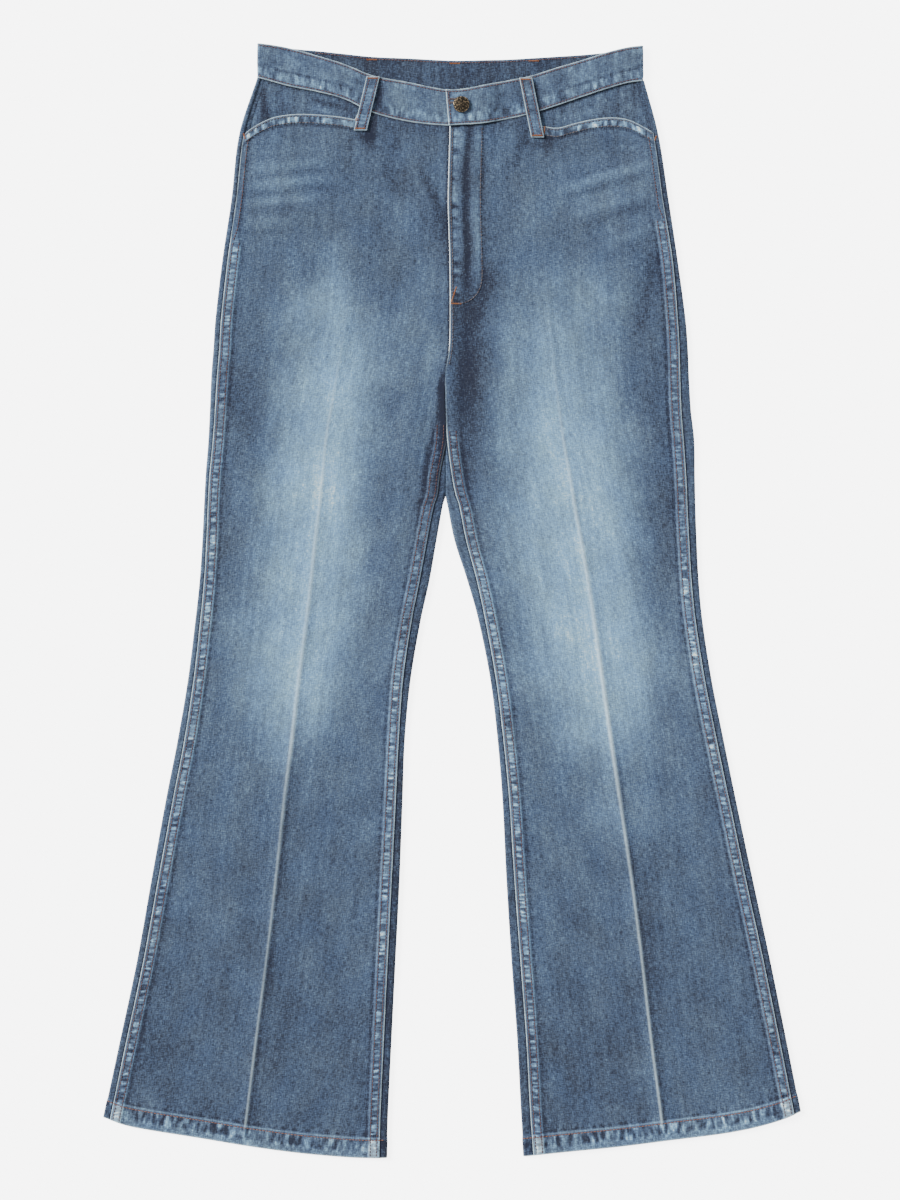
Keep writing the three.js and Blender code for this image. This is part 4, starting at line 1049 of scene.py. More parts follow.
# Half thicknesses of the solid band and loops, and how far the front is raised at the pocket mouths
CAD_BAND_HALF, CAD_LOOP_HALF, MOUTH_RAISE = 1.1, 0.75, 0.6
FRONT_LOOP_HIGH = BAND_FRONT_LEVEL + CAD_BAND_HALF + SEAM_GAP + CAD_LOOP_HALF
FRONT_LOOP_LOW = FRONT_LEVEL_AT_WAIST + CAD_HALF + MOUTH_RAISE + SEAM_GAP + CAD_LOOP_HALF
BACK_LOOP_LEVEL = 0.6
FRONT_LOOP_HALF, BACK_LOOP_HALF = 0.7, 0.5
# Each loop: its place, x and y of its top, x and y of its foot, and the height of each
LOOPS = (
    ("front_right", -78.7, 523.5, -91.5, 470, FRONT_LOOP_HIGH, FRONT_LOOP_LOW),
    ("front_left", 73.7, 522.3, 85.6, 463, FRONT_LOOP_HIGH, FRONT_LOOP_LOW),
    ("back_right", -80, 542.8, -80, 490.8, BACK_LOOP_LEVEL, BACK_LOOP_LEVEL),
    ("back_centre", 3, 539.1, 3, 486.7, BACK_LOOP_LEVEL, BACK_LOOP_LEVEL),
    ("back_left", 82, 541.6, 82, 489.4, BACK_LOOP_LEVEL, BACK_LOOP_LEVEL),
)
LOOP_HALF_STEPS = (0.1, 0.22, 0.3, 0.36, 0.42, 0.47, 0.5)
LOOP_STEPS = (*(-step for step in reversed(LOOP_HALF_STEPS)), 0, *LOOP_HALF_STEPS)


def belt_loop(row, material):
    place, top_x, top_y, foot_x, foot_y, high, low = row
    is_front = place.startswith("front")
    down = np.array(graded(0, 1, 0.008, 0.022, 0.1))[:, None]
    across = np.array(LOOP_STEPS)[None, :]
    x = mix(top_x, foot_x, down) + across * LOOP_WIDTH
    y = mix(top_y, foot_y, down) + 0 * across
    half = FRONT_LOOP_HALF if is_front else BACK_LOOP_HALF
    z = mix(high, low, smooth(0.7, 0.9, down)) + 0 * across
    if is_front:
        z = z + 0.3 * smooth(0, 0.1, down) * smooth(0.75, 0.58, down)
    side = (0.5 - np.abs(across)) * LOOP_WIDTH
    along = down * (top_y - foot_y)
    waves = Puckers(len(place) * 7 + int(abs(top_x)), -10, 80, 5.5)
    wave = waves(along + 0.4 * across * LOOP_WIDTH)
    rows = bell(side - LOOP_STITCHES, 0.75)
    up = half + 0.12 * smooth(5, 1, side) - 0.2 * rows + 0.12 * wave * smooth(2.5, 4, side)
    up = up + 0 * y
    looks = Looks(x, 0.42 + 0.05 * drift(along, 71, 30))
    end = np.minimum(along, (top_y - foot_y) - along)
    looks["bare"] += 0.5 * np.maximum(smooth(0.65, 0.05, side), 0.8 * smooth(0.8, 0.1, end))
    looks["gather_down"] += 0.12 * smooth(2.6, 4, side)
    looks["tone"] -= 0.10 * rows + 0.08 * bell(end - 3, 1.5)
    if not is_front:
        up = np.minimum(up, CAD_HALF)
    middle = np.stack([x, y, z], -1)
    normal = flat_normals(middle, 1 if is_front else -1)
    uv = np.stack([across * LOOP_WIDTH + DYE_SHIFT["loop"] + top_x + 0 * y, y], -1)
    obj = closed_cloth(f"belt_loop_denim_{place}", middle, normal, up, np.full_like(x, half), uv, looks)
    finish_cloth(obj, material, [f"belt_loop_{place}"])
    return obj


# Sewing
def model_stitch(length, thickness):
    """One stitch along X: a rounded strand whose two ends turn down into the cloth."""
    bpy.ops.object.select_all(action="DESELECT")
    bpy.ops.mesh.primitive_cylinder_add(vertices=6, radius=thickness / 2, depth=length * 0.5,
                                        rotation=(0, math.pi / 2, 0))
    stitch = bpy.context.object
    bpy.ops.object.transform_apply(location=False, rotation=True, scale=False)
    for end in (-1, 1):
        bpy.ops.object.mode_set(mode="OBJECT")
        for face in stitch.data.polygons:
            face.select = face.normal.x * end > 0.9
        for edge in stitch.data.edges:
            edge.select = False
        for vertex in stitch.data.vertices:
            vertex.select = vertex.co.x * end > length * 0.24
        bpy.ops.object.mode_set(mode="EDIT")
        bpy.ops.mesh.select_mode(type="FACE")
        bpy.ops.mesh.extrude_region_move(
            TRANSFORM_OT_translate={"value": (end * length * 0.25, 0, -thickness * 0.5)})
        tip = (end * length * 0.5, 0, -thickness * 0.5)
        bpy.ops.transform.resize(value=(1, 0.6, 0.55), center_override=tip)
    bpy.ops.object.mode_set(mode="OBJECT")
    bpy.ops.object.select_all(action="DESELECT")
    mesh = stitch.data
    points = np.array([v.co[:] for v in mesh.vertices]) / MM
    faces = [list(p.vertices) for p in mesh.polygons]
    bpy.data.objects.remove(stitch)
    quads = np.array([f for f in faces if len(f) == 4])
    caps = [f for f in faces if len(f) != 4]
    fans = [(f[0], f[k], f[k + 1], f[k + 1]) for f in caps for k in range(1, len(f) - 1)]
    return points, quads, np.array(fans)[:, :3]


class Cloth:
    """The finished cloth, to find where a needle coming down (or up) at a place meets it."""

    def __init__(self, objects):
        graph = bpy.context.evaluated_depsgraph_get()
        self.trees = [BVHTree.FromObject(obj, graph) for obj in objects]

    def meet(self, x, y, from_above=True):
        z, way = (0.05, -1) if from_above else (-0.05, 1)
        best = None
        for tree in self.trees:
            place, normal, _, _ = tree.ray_cast(Vector((x * MM, y * MM, z)), Vector((0, 0, way)))
            if place is not None and (best is None or (place.z - best[0].z) * way < 0):
                best = (place, normal)
        return best


def walk(path, pitch, seed, jitter=0.06):
    """Even places along a path, with the small unevenness of sewing by machine."""
    path = np.asarray(path, float)
    run = np.concatenate([[0], np.cumsum(np.linalg.norm(np.diff(path, axis=0), axis=1))])
    count = max(1, int(run[-1] / pitch))
    rng = np.random.default_rng(seed)
    ends = np.linspace(0, run[-1], count + 1)
    ends[1:-1] += rng.uniform(-jitter, jitter, count - 1) * pitch
    return np.stack([np.interp(ends, run, path[:, axis]) for axis in (0, 1)], -1)


class Needle:
    """Collects stitches and makes one joined piece of them."""

    def __init__(self, cloth, thickness, pitch=3.2, fill=0.84):
        self.cloth, self.thickness, self.pitch = cloth, thickness, pitch
        self.model = model_stitch(pitch * fill * MM, thickness * MM)
        self.length = pitch * fill
        self.frames = []

    def stitch(self, a, b, from_above=True, sink=0.1):
        between = ((a[0] + b[0]) / 2, (a[1] + b[1]) / 2)
        hit_a, hit_b, mid = (self.cloth.meet(at[0], at[1], from_above) for at in (a, b, between))
        if not (hit_a and hit_b and mid):
            return
        along = hit_b[0] - hit_a[0]
        flat = math.hypot(b[0] - a[0], b[1] - a[1]) * MM
        if along.length > flat * 1.6 or along.length < 1e-6:
            return
        size = along.length / (self.pitch * MM)
        along.normalize()
        up = mid[1] if (mid[1].z > 0) == from_above else -mid[1]
        up = (up - along * up.dot(along)).normalized()
        side = up.cross(along)
        centre = mid[0] + up * (self.thickness * 0.5 - sink) * MM
        self.frames.append((centre, along * size, side, up))

    def line(self, path, seed, from_above=True):
        xy = walk(path, self.pitch, seed)
        for a, b in zip(xy[:-1], xy[1:]):
            self.stitch(a, b, from_above)

    def bartack(self, a, b, width=2.4, pitch=0.75, from_above=True):
        """Close stitches side by side across a short line."""
        a, b = np.array(a, float), np.array(b, float)
        length = np.linalg.norm(b - a)
        way = (b - a) / length
        across = np.array([-way[1], way[0]])
        for k in range(int(length / pitch) + 1):
            at = a + way * k * pitch
            lean = way * (0.3 if k % 2 else -0.3)
            half = across * width / 2
            self.stitch(at - half - lean, at + half + lean, from_above, sink=0.0)

    def make(self, name, material, slot):
        points, quads, fans = self.model
        count = len(self.frames)
        centre = np.array([f[0] for f in self.frames]) / MM
        basis = np.array([[f[1][:], f[2][:], f[3][:]] for f in self.frames])
        placed = np.einsum("vk,nkc->nvc", points, basis) + centre[:, None, :]
        offset = (np.arange(count) * len(points))[:, None, None]
        all_quads = (quads[None] + offset).reshape(-1, 4)
        all_fans = (fans[None] + offset).reshape(-1, 3)
        faces = [tuple(f) for f in all_quads.tolist()] + [tuple(f) for f in all_fans.tolist()]
        mesh = bpy.data.meshes.new(name)
        mesh.from_pydata((placed.reshape(-1, 3) * MM).tolist(), [], faces)
        mesh.polygons.foreach_set("use_smooth", np.full(len(faces), True))
        mesh.update()
        obj = put_in_scene(name, mesh)
        mesh.materials.append(material)
        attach(obj, BODY)
        return obj


# Heights: near the hem, where its width is read; the outseam's at the mouths; the seat seam's ends
NEAR_HEM_Y, MOUTH_Y, SEAT_TOP, SEAT_END = -520.0, 462.0, 498, 238


def down_path(x_at, y_from, y_to, step=4.0):
    y = np.arange(y_from, y_to, -step)
    y = np.append(y, y_to)
    return np.stack([x_at(y), y], -1)


def in_from_inner(leg, distance, y):
    """The x of places on the front at a distance round from its inner seam."""
    fold = Fold(leg, y, "inner")
    return fold.at(fold.whole - fold.front_end + distance)[0]


def to_hem(leg, x_at, top):
    """A path down the leg from top to just above the hem."""
    end = float(leg.hem(x_at(np.array([NEAR_HEM_Y]))[0])) + 1.5
    return down_path(x_at, top, end)


def edge_path(x, name, inset):
    """A path beside one edge of the band."""
    return np.stack([x, waist[name](x) + inset], -1)


# Dyes and metals
def node(tree, kind, **settings):
    made = tree.nodes.new(kind)
    for key, value in settings.items():
        setattr(made, key, value)
    return made


def feed(tree, source, socket):
    if isinstance(source, (int, float, tuple)):
        socket.default_value = source
    else:
        tree.links.new(source, socket)


def maths(tree, operation, *values, clamp=False):
    made = node(tree, "ShaderNodeMath", operation=operation, use_clamp=clamp)
    for value, socket in zip(values, made.inputs):
        feed(tree, value, socket)
    return made.outputs[0]


def set_inputs(made, values):
    for label, value in values.items():
        made.inputs[label].default_value = value


def scaled(tree, vector, scale, turn=0.0, shift=(0, 0, 0)):
    made = node(tree, "ShaderNodeMapping")
    feed(tree, vector, made.inputs["Vector"])
    set_inputs(made, {"Scale": scale, "Rotation": (0, 0, turn), "Location": shift})
    return made.outputs[0]


def in_millimetres(tree, place):
    made = node(tree, "ShaderNodeVectorMath", operation="SCALE")
    feed(tree, place, made.inputs[0])
    made.inputs["Scale"].default_value = 1 / MM
    return made.outputs[0]


def grain(tree, vector, size, detail=2.0, turn=0.0, shift=(0, 0), rough=0.5):
    """Soft noise of a size along x and y, given back as a value that swings evenly about 0."""
    made = node(tree, "ShaderNodeTexNoise", noise_dimensions="2D")
    scale = (1 / size[0], 1 / size[1], 1)
    feed(tree, scaled(tree, vector, scale, turn, (*shift, 0)), made.inputs["Vector"])
    set_inputs(made, {"Scale": 1.0, "Detail": detail, "Roughness": rough})
    return maths(tree, "SUBTRACT", made.outputs[0], 0.5)


def weighted(tree, *pairs):
    total = None
    for source, weight in pairs:
        part = maths(tree, "MULTIPLY", source, weight)
        total = part if total is None else maths(tree, "ADD", total, part)
    return total


def blended(tree, factor, a, b, blend="MIX"):
    made = node(tree, "ShaderNodeMix", data_type="RGBA", blend_type=blend)
    for source, label in ((factor, "Factor"), (a, "A"), (b, "B")):
        feed(tree, source, made.inputs[label])
    return made.outputs["Result"]


def bumped(tree, shader, height, strength, distance):
    made = node(tree, "ShaderNodeBump")
    set_inputs(made, {"Strength": strength, "Distance": distance})
    feed(tree, height, made.inputs["Height"])
    feed(tree, made.outputs["Normal"], shader.inputs["Normal"])


def new_material(name):
    material = bpy.data.materials.new(name)
    material.use_nodes = True
    tree = material.node_tree
    return material, tree, tree.nodes["Principled BSDF"]


def new_group(name, amounts, outputs):
    """A group of nodes that is given a place on the cloth, which it reads in mm, and some amounts."""
    tree = bpy.data.node_groups.new(name, "ShaderNodeTree")
    tree.interface.new_socket(name="Place", in_out="INPUT", socket_type="NodeSocketVector")
    for label, value in amounts.items():
        socket = tree.interface.new_socket(name=label, in_out="INPUT", socket_type="NodeSocketFloat")
        socket.default_value = value
    for label in outputs:
        tree.interface.new_socket(name=label, in_out="OUTPUT", socket_type="NodeSocketFloat")
    given, out = tree.nodes.new("NodeGroupInput"), tree.nodes.new("NodeGroupOutput")
    return tree, given, out, in_millimetres(tree, given.outputs["Place"])


def twill_group():
    """Denim's yarns: warp streaks, weft, the slanting twill and specks."""
    tree, _, out, at = new_group("Denim Twill", {}, ("Yarn", "Mottle", "Hue", "Height"))
    warp = grain(tree, at, (0.85, 6.0), 1.0)
    fine_warp = grain(tree, at, (0.8, 2.6), 1.0, shift=(31, 7))
    weft = grain(tree, at, (5.0, 0.85), 1.0, shift=(5, 13))
    fleck = grain(tree, at, (2.4, 0.9), 1.0, turn=0.9, shift=(17, 3))
    speck = grain(tree, at, (0.9, 0.9), 1.0, shift=(3, 41))
    wave = node(tree, "ShaderNodeTexWave", wave_type="BANDS", bands_direction="X", wave_profile="SIN")
    feed(tree, scaled(tree, at, (1, 1, 1), turn=math.radians(-27)), wave.inputs["Vector"])
    set_inputs(wave, {"Scale": 0.314 / 1.25, "Distortion": 2.2, "Detail": 1.0, "Detail Scale": 1.6})
    twill = maths(tree, "SUBTRACT", wave.outputs["Fac"], 0.5)
    small = grain(tree, at, (7.0, 9.0), 3.0, shift=(9, 2), rough=0.6)
    large = grain(tree, at, (34.0, 48.0), 3.0, shift=(4, 8), rough=0.55)
    upright = grain(tree, at, (4.0, 70.0), 2.0, shift=(2, 6))
    tint = grain(tree, at, (1.5, 2.2), 1.0, shift=(22, 15))
    tint_large = grain(tree, at, (26.0, 40.0), 2.0, shift=(12, 25))
    hue = weighted(tree, (tint, 1.5), (tint_large, 1.2))
    results = {
        "Yarn": weighted(tree, (warp, 1.2), (fine_warp, 0.8), (weft, 1.25), (fleck, 0.6),
                         (speck, 0.6), (twill, 0.12)),
        "Mottle": weighted(tree, (small, 0.6), (large, 0.9), (upright, 0.7)),
        "Hue": maths(tree, "ADD", hue, 0.5, clamp=True),
        "Height": weighted(tree, (twill, 0.6), (fine_warp, 1.0), (weft, 0.8), (speck, 0.6)),
    }
    for label, value in results.items():
        feed(tree, value, out.inputs[label])
    return tree


def wear_group():
    """Breaks up the wear on edges and gathers so that it isn't an even line."""
    tree, given, out, at = new_group("Broken Wear", {"Wear": 0.0, "Bare": 0.0, "Break": 1.0},
                                     ("Change", "Bare Yarn"))
    patches = grain(tree, at, (3.4, 3.4), 2.0, shift=(6, 1), rough=0.6)
    runs = grain(tree, at, (15.0, 15.0), 1.0, shift=(1, 9))
    broken = weighted(tree, (patches, 1.9), (runs, 1.2))
    factor = maths(tree, "ADD", maths(tree, "MULTIPLY", broken, given.outputs["Break"]), 1.0)
    factor = maths(tree, "MAXIMUM", factor, 0.15)
    feed(tree, maths(tree, "MULTIPLY", given.outputs["Wear"], factor), out.inputs["Change"])
    fine = grain(tree, at, (1.1, 1.1), 2.0, shift=(8, 4))
    uneven = maths(tree, "ADD", weighted(tree, (patches, 0.9), (fine, 0.9)), 1.0)
    bare = maths(tree, "MULTIPLY", given.outputs["Bare"], uneven, clamp=True)
    feed(tree, bare, out.inputs["Bare Yarn"])
    return tree


def gather_group():
    """Pale and dark bars where a seam's gathers have rubbed."""
    tree, given, out, at = new_group("Rubbed Gathers", {"Along": 0.0, "Down": 0.0},
                                     ("Change", "Height"))
    total = None
    for label, size, turn in (("Along", (5.3, 15.0), 0.12), ("Down", (13.0, 3.3), 0.10)):
        bars = grain(tree, at, size, 1.0, turn=turn, shift=(14, 27))
        crisp = maths(tree, "MULTIPLY_ADD", bars, 4.4, 0.12)
        crisp = maths(tree, "MAXIMUM", maths(tree, "MINIMUM", crisp, 1.0), -0.62)
        part = maths(tree, "MULTIPLY", crisp, given.outputs[label])
        total = part if total is None else maths(tree, "ADD", total, part)
    for label in ("Change", "Height"):
        feed(tree, total, out.inputs[label])
    return tree


def place_group(tree, group, **inputs):
    made = node(tree, "ShaderNodeGroup", node_tree=group)
    for key, value in inputs.items():
        feed(tree, value, made.inputs[key.replace("_", " ")])
    return made


# Denim from unfaded, which also stands for deep painted shade, to worn white: tone, then red, green and
# blue as reflected light
DENIM = (
    (0.00, 0.0105, 0.0135, 0.0275), (0.14, 0.0205, 0.0265, 0.0440), (0.30, 0.0395, 0.0585, 0.0985),
    (0.42, 0.0540, 0.0800, 0.1280), (0.55, 0.0830, 0.1340, 0.2050), (0.68, 0.1190, 0.2120, 0.3160),
    (0.80, 0.1720, 0.3240, 0.4640), (0.90, 0.3400, 0.4600, 0.5200), (1.00, 0.7200, 0.7600, 0.7000),
)
BARE_YARN = (0.56, 0.70, 0.75, 1)
COOL_TINT, WARM_TINT = (0.93, 0.985, 1.07, 1), (1.09, 1.02, 0.92, 1)


def denim_material(name, groups, yarn=0.33, mottle=0.26, height=0.35):
    """Indigo denim: its tone comes from the cloth's own fade and wear and from the light and shade painted
    into it, its grain from its yarns.
    """
    material, tree, shader = new_material(name)
    uv = node(tree, "ShaderNodeUVMap", uv_map="cloth").outputs[0]
    tone, wear, bare, gather_along, gather_down = (
        node(tree, "ShaderNodeAttribute", attribute_name=key).outputs["Fac"] for key in LOOKS)
    twill = place_group(tree, groups["twill"], Place=uv)
    worn = place_group(tree, groups["wear"], Place=uv, Wear=wear, Bare=bare, Break=0.9)
    gathers = place_group(tree, groups["gathers"], Place=uv, Along=gather_along, Down=gather_down)
    total = maths(tree, "ADD", maths(tree, "ADD", tone, worn.outputs["Change"]), gathers.outputs["Change"])
    total = maths(tree, "ADD", total, maths(tree, "MULTIPLY", twill.outputs["Mottle"], mottle))
    calm = maths(tree, "MULTIPLY_ADD", tone, -0.95, 1.32)
    grain_part = maths(tree, "MULTIPLY", maths(tree, "MULTIPLY", twill.outputs["Yarn"], yarn), calm)
    total = maths(tree, "ADD", total, grain_part, clamp=True)
    ramp = node(tree, "ShaderNodeValToRGB")
    ramp.color_ramp.interpolation = "LINEAR"
    stops = ramp.color_ramp.elements
    while len(stops) < len(DENIM):
        stops.new(0.5)
    for stop, (at, *_) in zip(stops, DENIM):
        stop.position = at
    for stop, (_, *colour) in zip(stops, DENIM):
        stop.color = (*colour, 1)
    feed(tree, total, ramp.inputs["Fac"])
    hue = blended(tree, twill.outputs["Hue"], COOL_TINT, WARM_TINT)
    tinted = blended(tree, 1.0, ramp.outputs["Color"], hue, "MULTIPLY")
    bared = blended(tree, worn.outputs["Bare Yarn"], tinted, BARE_YARN)
    feed(tree, bared, shader.inputs["Base Color"])
    rough = maths(tree, "ADD", maths(tree, "MULTIPLY", twill.outputs["Yarn"], -0.12), 0.9, clamp=True)
    feed(tree, rough, shader.inputs["Roughness"])
    raised = maths(tree, "MULTIPLY_ADD", gathers.outputs["Height"], 3.0, twill.outputs["Height"])
    bumped(tree, shader, raised, height, 0.0006)
    set_inputs(shader, {"Specular IOR Level": 0.12, "Sheen Weight": 0.06, "Sheen Roughness": 0.6})
    return material


def thread_material(name, colour, pale):
    """Spun thread: fine slanting plies, and a little fading along its run."""
    material, tree, shader = new_material(name)
    at = in_millimetres(tree, node(tree, "ShaderNodeTexCoord").outputs["Object"])
    fade = grain(tree, at, (9, 9), 3.0)
    ply = node(tree, "ShaderNodeTexWave", wave_type="BANDS", bands_direction="DIAGONAL")
    feed(tree, at, ply.inputs["Vector"])
    ply.inputs["Scale"].default_value = 0.9
    amount = maths(tree, "ADD", maths(tree, "MULTIPLY", fade, 2.2), 0.42)
    amount = maths(tree, "ADD", amount, maths(tree, "MULTIPLY", ply.outputs["Fac"], 0.16), clamp=True)
    feed(tree, blended(tree, amount, (*colour, 1), (*pale, 1)), shader.inputs["Base Color"])
    bumped(tree, shader, ply.outputs["Fac"], 0.4, 0.0002)
    set_inputs(shader, {"Roughness": 0.72, "Specular IOR Level": 0.25})
    return material


def button_material(name, dark, bright):
    """Aged metal: dark in the hollows, rubbed bright on the rim and where it is touched."""
    material, tree, shader = new_material(name)
    place = node(tree, "ShaderNodeTexCoord").outputs["Object"]
    centred = node(tree, "ShaderNodeVectorMath", operation="SUBTRACT")
    feed(tree, place, centred.inputs[0])
    feed(tree, (BUTTON_X * MM, BUTTON_Y * MM, 0), centred.inputs[1])
    flat = node(tree, "ShaderNodeVectorMath", operation="MULTIPLY")
    feed(tree, centred.outputs[0], flat.inputs[0])
    feed(tree, (1 / MM, 1 / MM, 0), flat.inputs[1])
    reach = node(tree, "ShaderNodeVectorMath", operation="LENGTH")
    feed(tree, flat.outputs[0], reach.inputs[0])
    ring = node(tree, "ShaderNodeMapRange", interpolation_type="SMOOTHSTEP")
    feed(tree, reach.outputs["Value"], ring.inputs["Value"])
    set_inputs(ring, {"From Min": BUTTON_RADIUS * 0.88, "From Max": BUTTON_RADIUS * 0.97})
    scuff = grain(tree, flat.outputs[0], (1 / 0.62, 1 / 0.62), 3.0, rough=0.6)
    amount = maths(tree, "ADD", maths(tree, "MULTIPLY", ring.outputs[0], 0.42),
                   maths(tree, "MULTIPLY", scuff, 2.9), clamp=True)
    feed(tree, blended(tree, amount, (*dark, 1), (*bright, 1)), shader.inputs["Base Color"])
    shader.inputs["Metallic"].default_value = 1.0
    rough = maths(tree, "ADD", maths(tree, "MULTIPLY", scuff, 0.5), 0.38, clamp=True)
    feed(tree, rough, shader.inputs["Roughness"])
    bumped(tree, shader, scuff, 0.25, 0.0002)
    return material


def floor_material(name, colour, glow):
    """A plain pale floor that gives off some light of its own, so that it stays near white."""
    material, tree, shader = new_material(name)
    place = node(tree, "ShaderNodeTexCoord").outputs["Object"]
    uneven = grain(tree, place, (1 / 3, 1 / 3), 3.0)
    shade = maths(tree, "ADD", maths(tree, "MULTIPLY", uneven, 0.01), 1.0)
    tint = node(tree, "ShaderNodeVectorMath", operation="SCALE")
    tint.inputs[0].default_value = colour[:3]
    feed(tree, shade, tint.inputs["Scale"])
    feed(tree, tint.outputs[0], shader.inputs["Base Color"])
    set_inputs(shader, {"Roughness": 0.9, "Specular IOR Level": 0.1,
                        "Emission Color": (1, 1, 1, 1), "Emission Strength": glow})
    return material


THREADS = {"brown": "Brown Thread", "orange": "Orange Thread", "rust": "Rust Thread",
           "blue": "Indigo Thread"}
MATERIALS = {}


def dye(key):
    """The material of a finish, made the first time that it is asked for."""
    if not MATERIALS:
        finish = bpy.context.scene.jeans_finish
        groups = {"twill": twill_group(), "wear": wear_group(), "gathers": gather_group()}
        MATERIALS["denim"] = denim_material("Faded Denim", groups)
        MATERIALS["band"] = denim_material("Waistband Denim", groups, yarn=0.33, mottle=0.34)
        MATERIALS["facing"] = denim_material("Unfaded Denim", groups, yarn=0.35, mottle=0.40)
        for thread, name in THREADS.items():
            colour, pale = getattr(finish, f"thread_{thread}"), getattr(finish, f"thread_{thread}_pale")
            MATERIALS[thread] = thread_material(name, colour, pale)
        MATERIALS["button"] = button_material("Aged Brass", finish.metal_dark, finish.metal_bright)
    return MATERIALS[key]


# Settings
def colour_property(name, description, default):
    return bpy.props.FloatVectorProperty(name=name, description=description, default=default,
                                         subtype="COLOR", size=3, min=0, max=1)


def length_property(name, description, default):
    return bpy.props.FloatProperty(name=name, description=description, default=default, min=0,
                                   subtype="DISTANCE", unit="LENGTH", precision=5)


def amount_property(name, description, default, **settings):
    return bpy.props.FloatProperty(name=name, description=description, default=default,
                                   **{"min": 0, **settings})


class JeansSewing(bpy.types.PropertyGroup):
    stitch_pitch: length_property("Stitch pitch", "Distance from one stitch to the next", 0.0032)
    stitch_thickness: length_property("Thread thickness", "Thickness of the sewing thread", 0.00085)
    tack_width: length_property("Bartack width", "Width of the close bartack stitches", 0.0018)
    button_rim: length_property("Button rim", "Width of the button's raised rim", 0.0017)


class JeansFinish(bpy.types.PropertyGroup):
    thread_brown: colour_property(
        "Brown thread", "Reddish brown topstitching", (0.068, 0.030, 0.032))
    thread_brown_pale: colour_property(
        "Brown thread, faded", "Topstitching where it has faded", (0.125, 0.070, 0.062))
    thread_orange: colour_property(
        "Orange thread", "Bartack thread", (0.22, 0.066, 0.022))
    thread_orange_pale: colour_property(
        "Orange thread, faded", "Bartack thread where it has faded", (0.27, 0.12, 0.055))
    thread_rust: colour_property(
        "Rust thread", "Thread of the hems", (0.15, 0.052, 0.034))
    thread_rust_pale: colour_property(
        "Rust thread, faded", "Hem thread where it has faded", (0.21, 0.105, 0.07))
    thread_blue: colour_property(
        "Indigo thread", "Thread of the fly and pocket mouths", (0.06, 0.05, 0.06))
    thread_blue_pale: colour_property(
        "Indigo thread, faded", "The same thread where it has faded", (0.13, 0.11, 0.11))
    metal_dark: colour_property(
        "Button, dark", "The button's metal in its hollow", (0.030, 0.026, 0.021))
    metal_bright: colour_property(
        "Button, bright", "The button's metal on its rubbed rim", (0.42, 0.31, 0.19))


class JeansStage(bpy.types.PropertyGroup):
    floor_colour: colour_property("Floor", "Colour of the plain floor", (0.9, 0.9, 0.9))
    floor_glow: amount_property("Floor glow", "Light that the floor gives off", 5.0)
    camera_height: length_property("Camera height", "Height of the camera over the cloth", 3.004)
    camera_lens: amount_property("Lens", "Focal length", 90, min=1, unit="CAMERA")
    key_strength: amount_property(
        "Window light", "Strength of the soft light from the upper left", 7.4)
    key_softness: amount_property("Window softness", "How wide the soft light is", 0.42, subtype="ANGLE")
    sky: amount_property("Room light", "Strength of the even light of the room", 0.8)


# Operators
FRONTS = ("front_denim_right", "front_denim_left")
BACKS = ("back_denim_right", "back_denim_left")
LOOP_CLOTH = tuple(f"belt_loop_denim_{row[0]}" for row in LOOPS)


def laid_cloth(*names):
    """Cloth pieces that are already laid, for a needle to go through."""
    missing = [name for name in names if name not in bpy.data.objects]
    if missing:
        raise RuntimeError(f"lay these first: {missing}")
    return Cloth([bpy.data.objects[name] for name in names])


def threaded(context, cloth):
    """A needle with the sewing thread of the settings."""
    sewing = context.scene.jeans_sewing
    return Needle(cloth, sewing.stitch_thickness / MM, sewing.stitch_pitch / MM)


class JEANS_OT_back_panels(bpy.types.Operator):
    """Cut and lay the two back panels, which wrap round both folds of each leg"""
    bl_idname = "jeans.back_panels"
    bl_label = "Back Panels"

    def execute(self, context):
        for leg in LEGS.values():
            back_panel(leg, dye("denim"))
        return {"FINISHED"}


class JEANS_OT_front_panels(bpy.types.Operator):
    """Cut and lay the two front panels with their pressed lines, seams, mouths and hems"""
    bl_idname = "jeans.front_panels"
    bl_label = "Front Panels"

    def execute(self, context):
        for leg in LEGS.values():
            front_panel(leg, dye("denim"))
        return {"FINISHED"}


class JEANS_OT_pocket_facings(bpy.types.Operator):
    """Lay the less faded facings that show above the pocket mouths"""
    bl_idname = "jeans.pocket_facings"
    bl_label = "Pocket Facings"

    def execute(self, context):
        for leg in LEGS.values():
            pocket_facing(leg, dye("facing"))
        return {"FINISHED"}


class JEANS_OT_waistband(bpy.types.Operator):
    """Make the waistband as one ring that laps over itself at the fly"""
    bl_idname = "jeans.waistband"
    bl_label = "Waistband"

    def execute(self, context):
        waistband(dye("band"))
        return {"FINISHED"}


class JEANS_OT_belt_loops(bpy.types.Operator):
    """Make the five belt loops"""
    bl_idname = "jeans.belt_loops"
    bl_label = "Belt Loops"

    def execute(self, context):
        for row in LOOPS:
            belt_loop(row, dye("band"))
        return {"FINISHED"}


# The button's height, and its face from the edge inwards: how far each step goes in and then up.
# The steps of the rim go in by shares of its width, and all the rest is in millimetres.
BUTTON_HEIGHT = 2.2
RIM_STEPS = ((0.25, 0.7), (0.45, 0), (0.3, -0.8))
FACE_STEPS = ((0.9, 0), (0.4, 0.22), (0.5, 0), (0.4, -0.2), (1.2, 0.25), (1.4, 0.1))


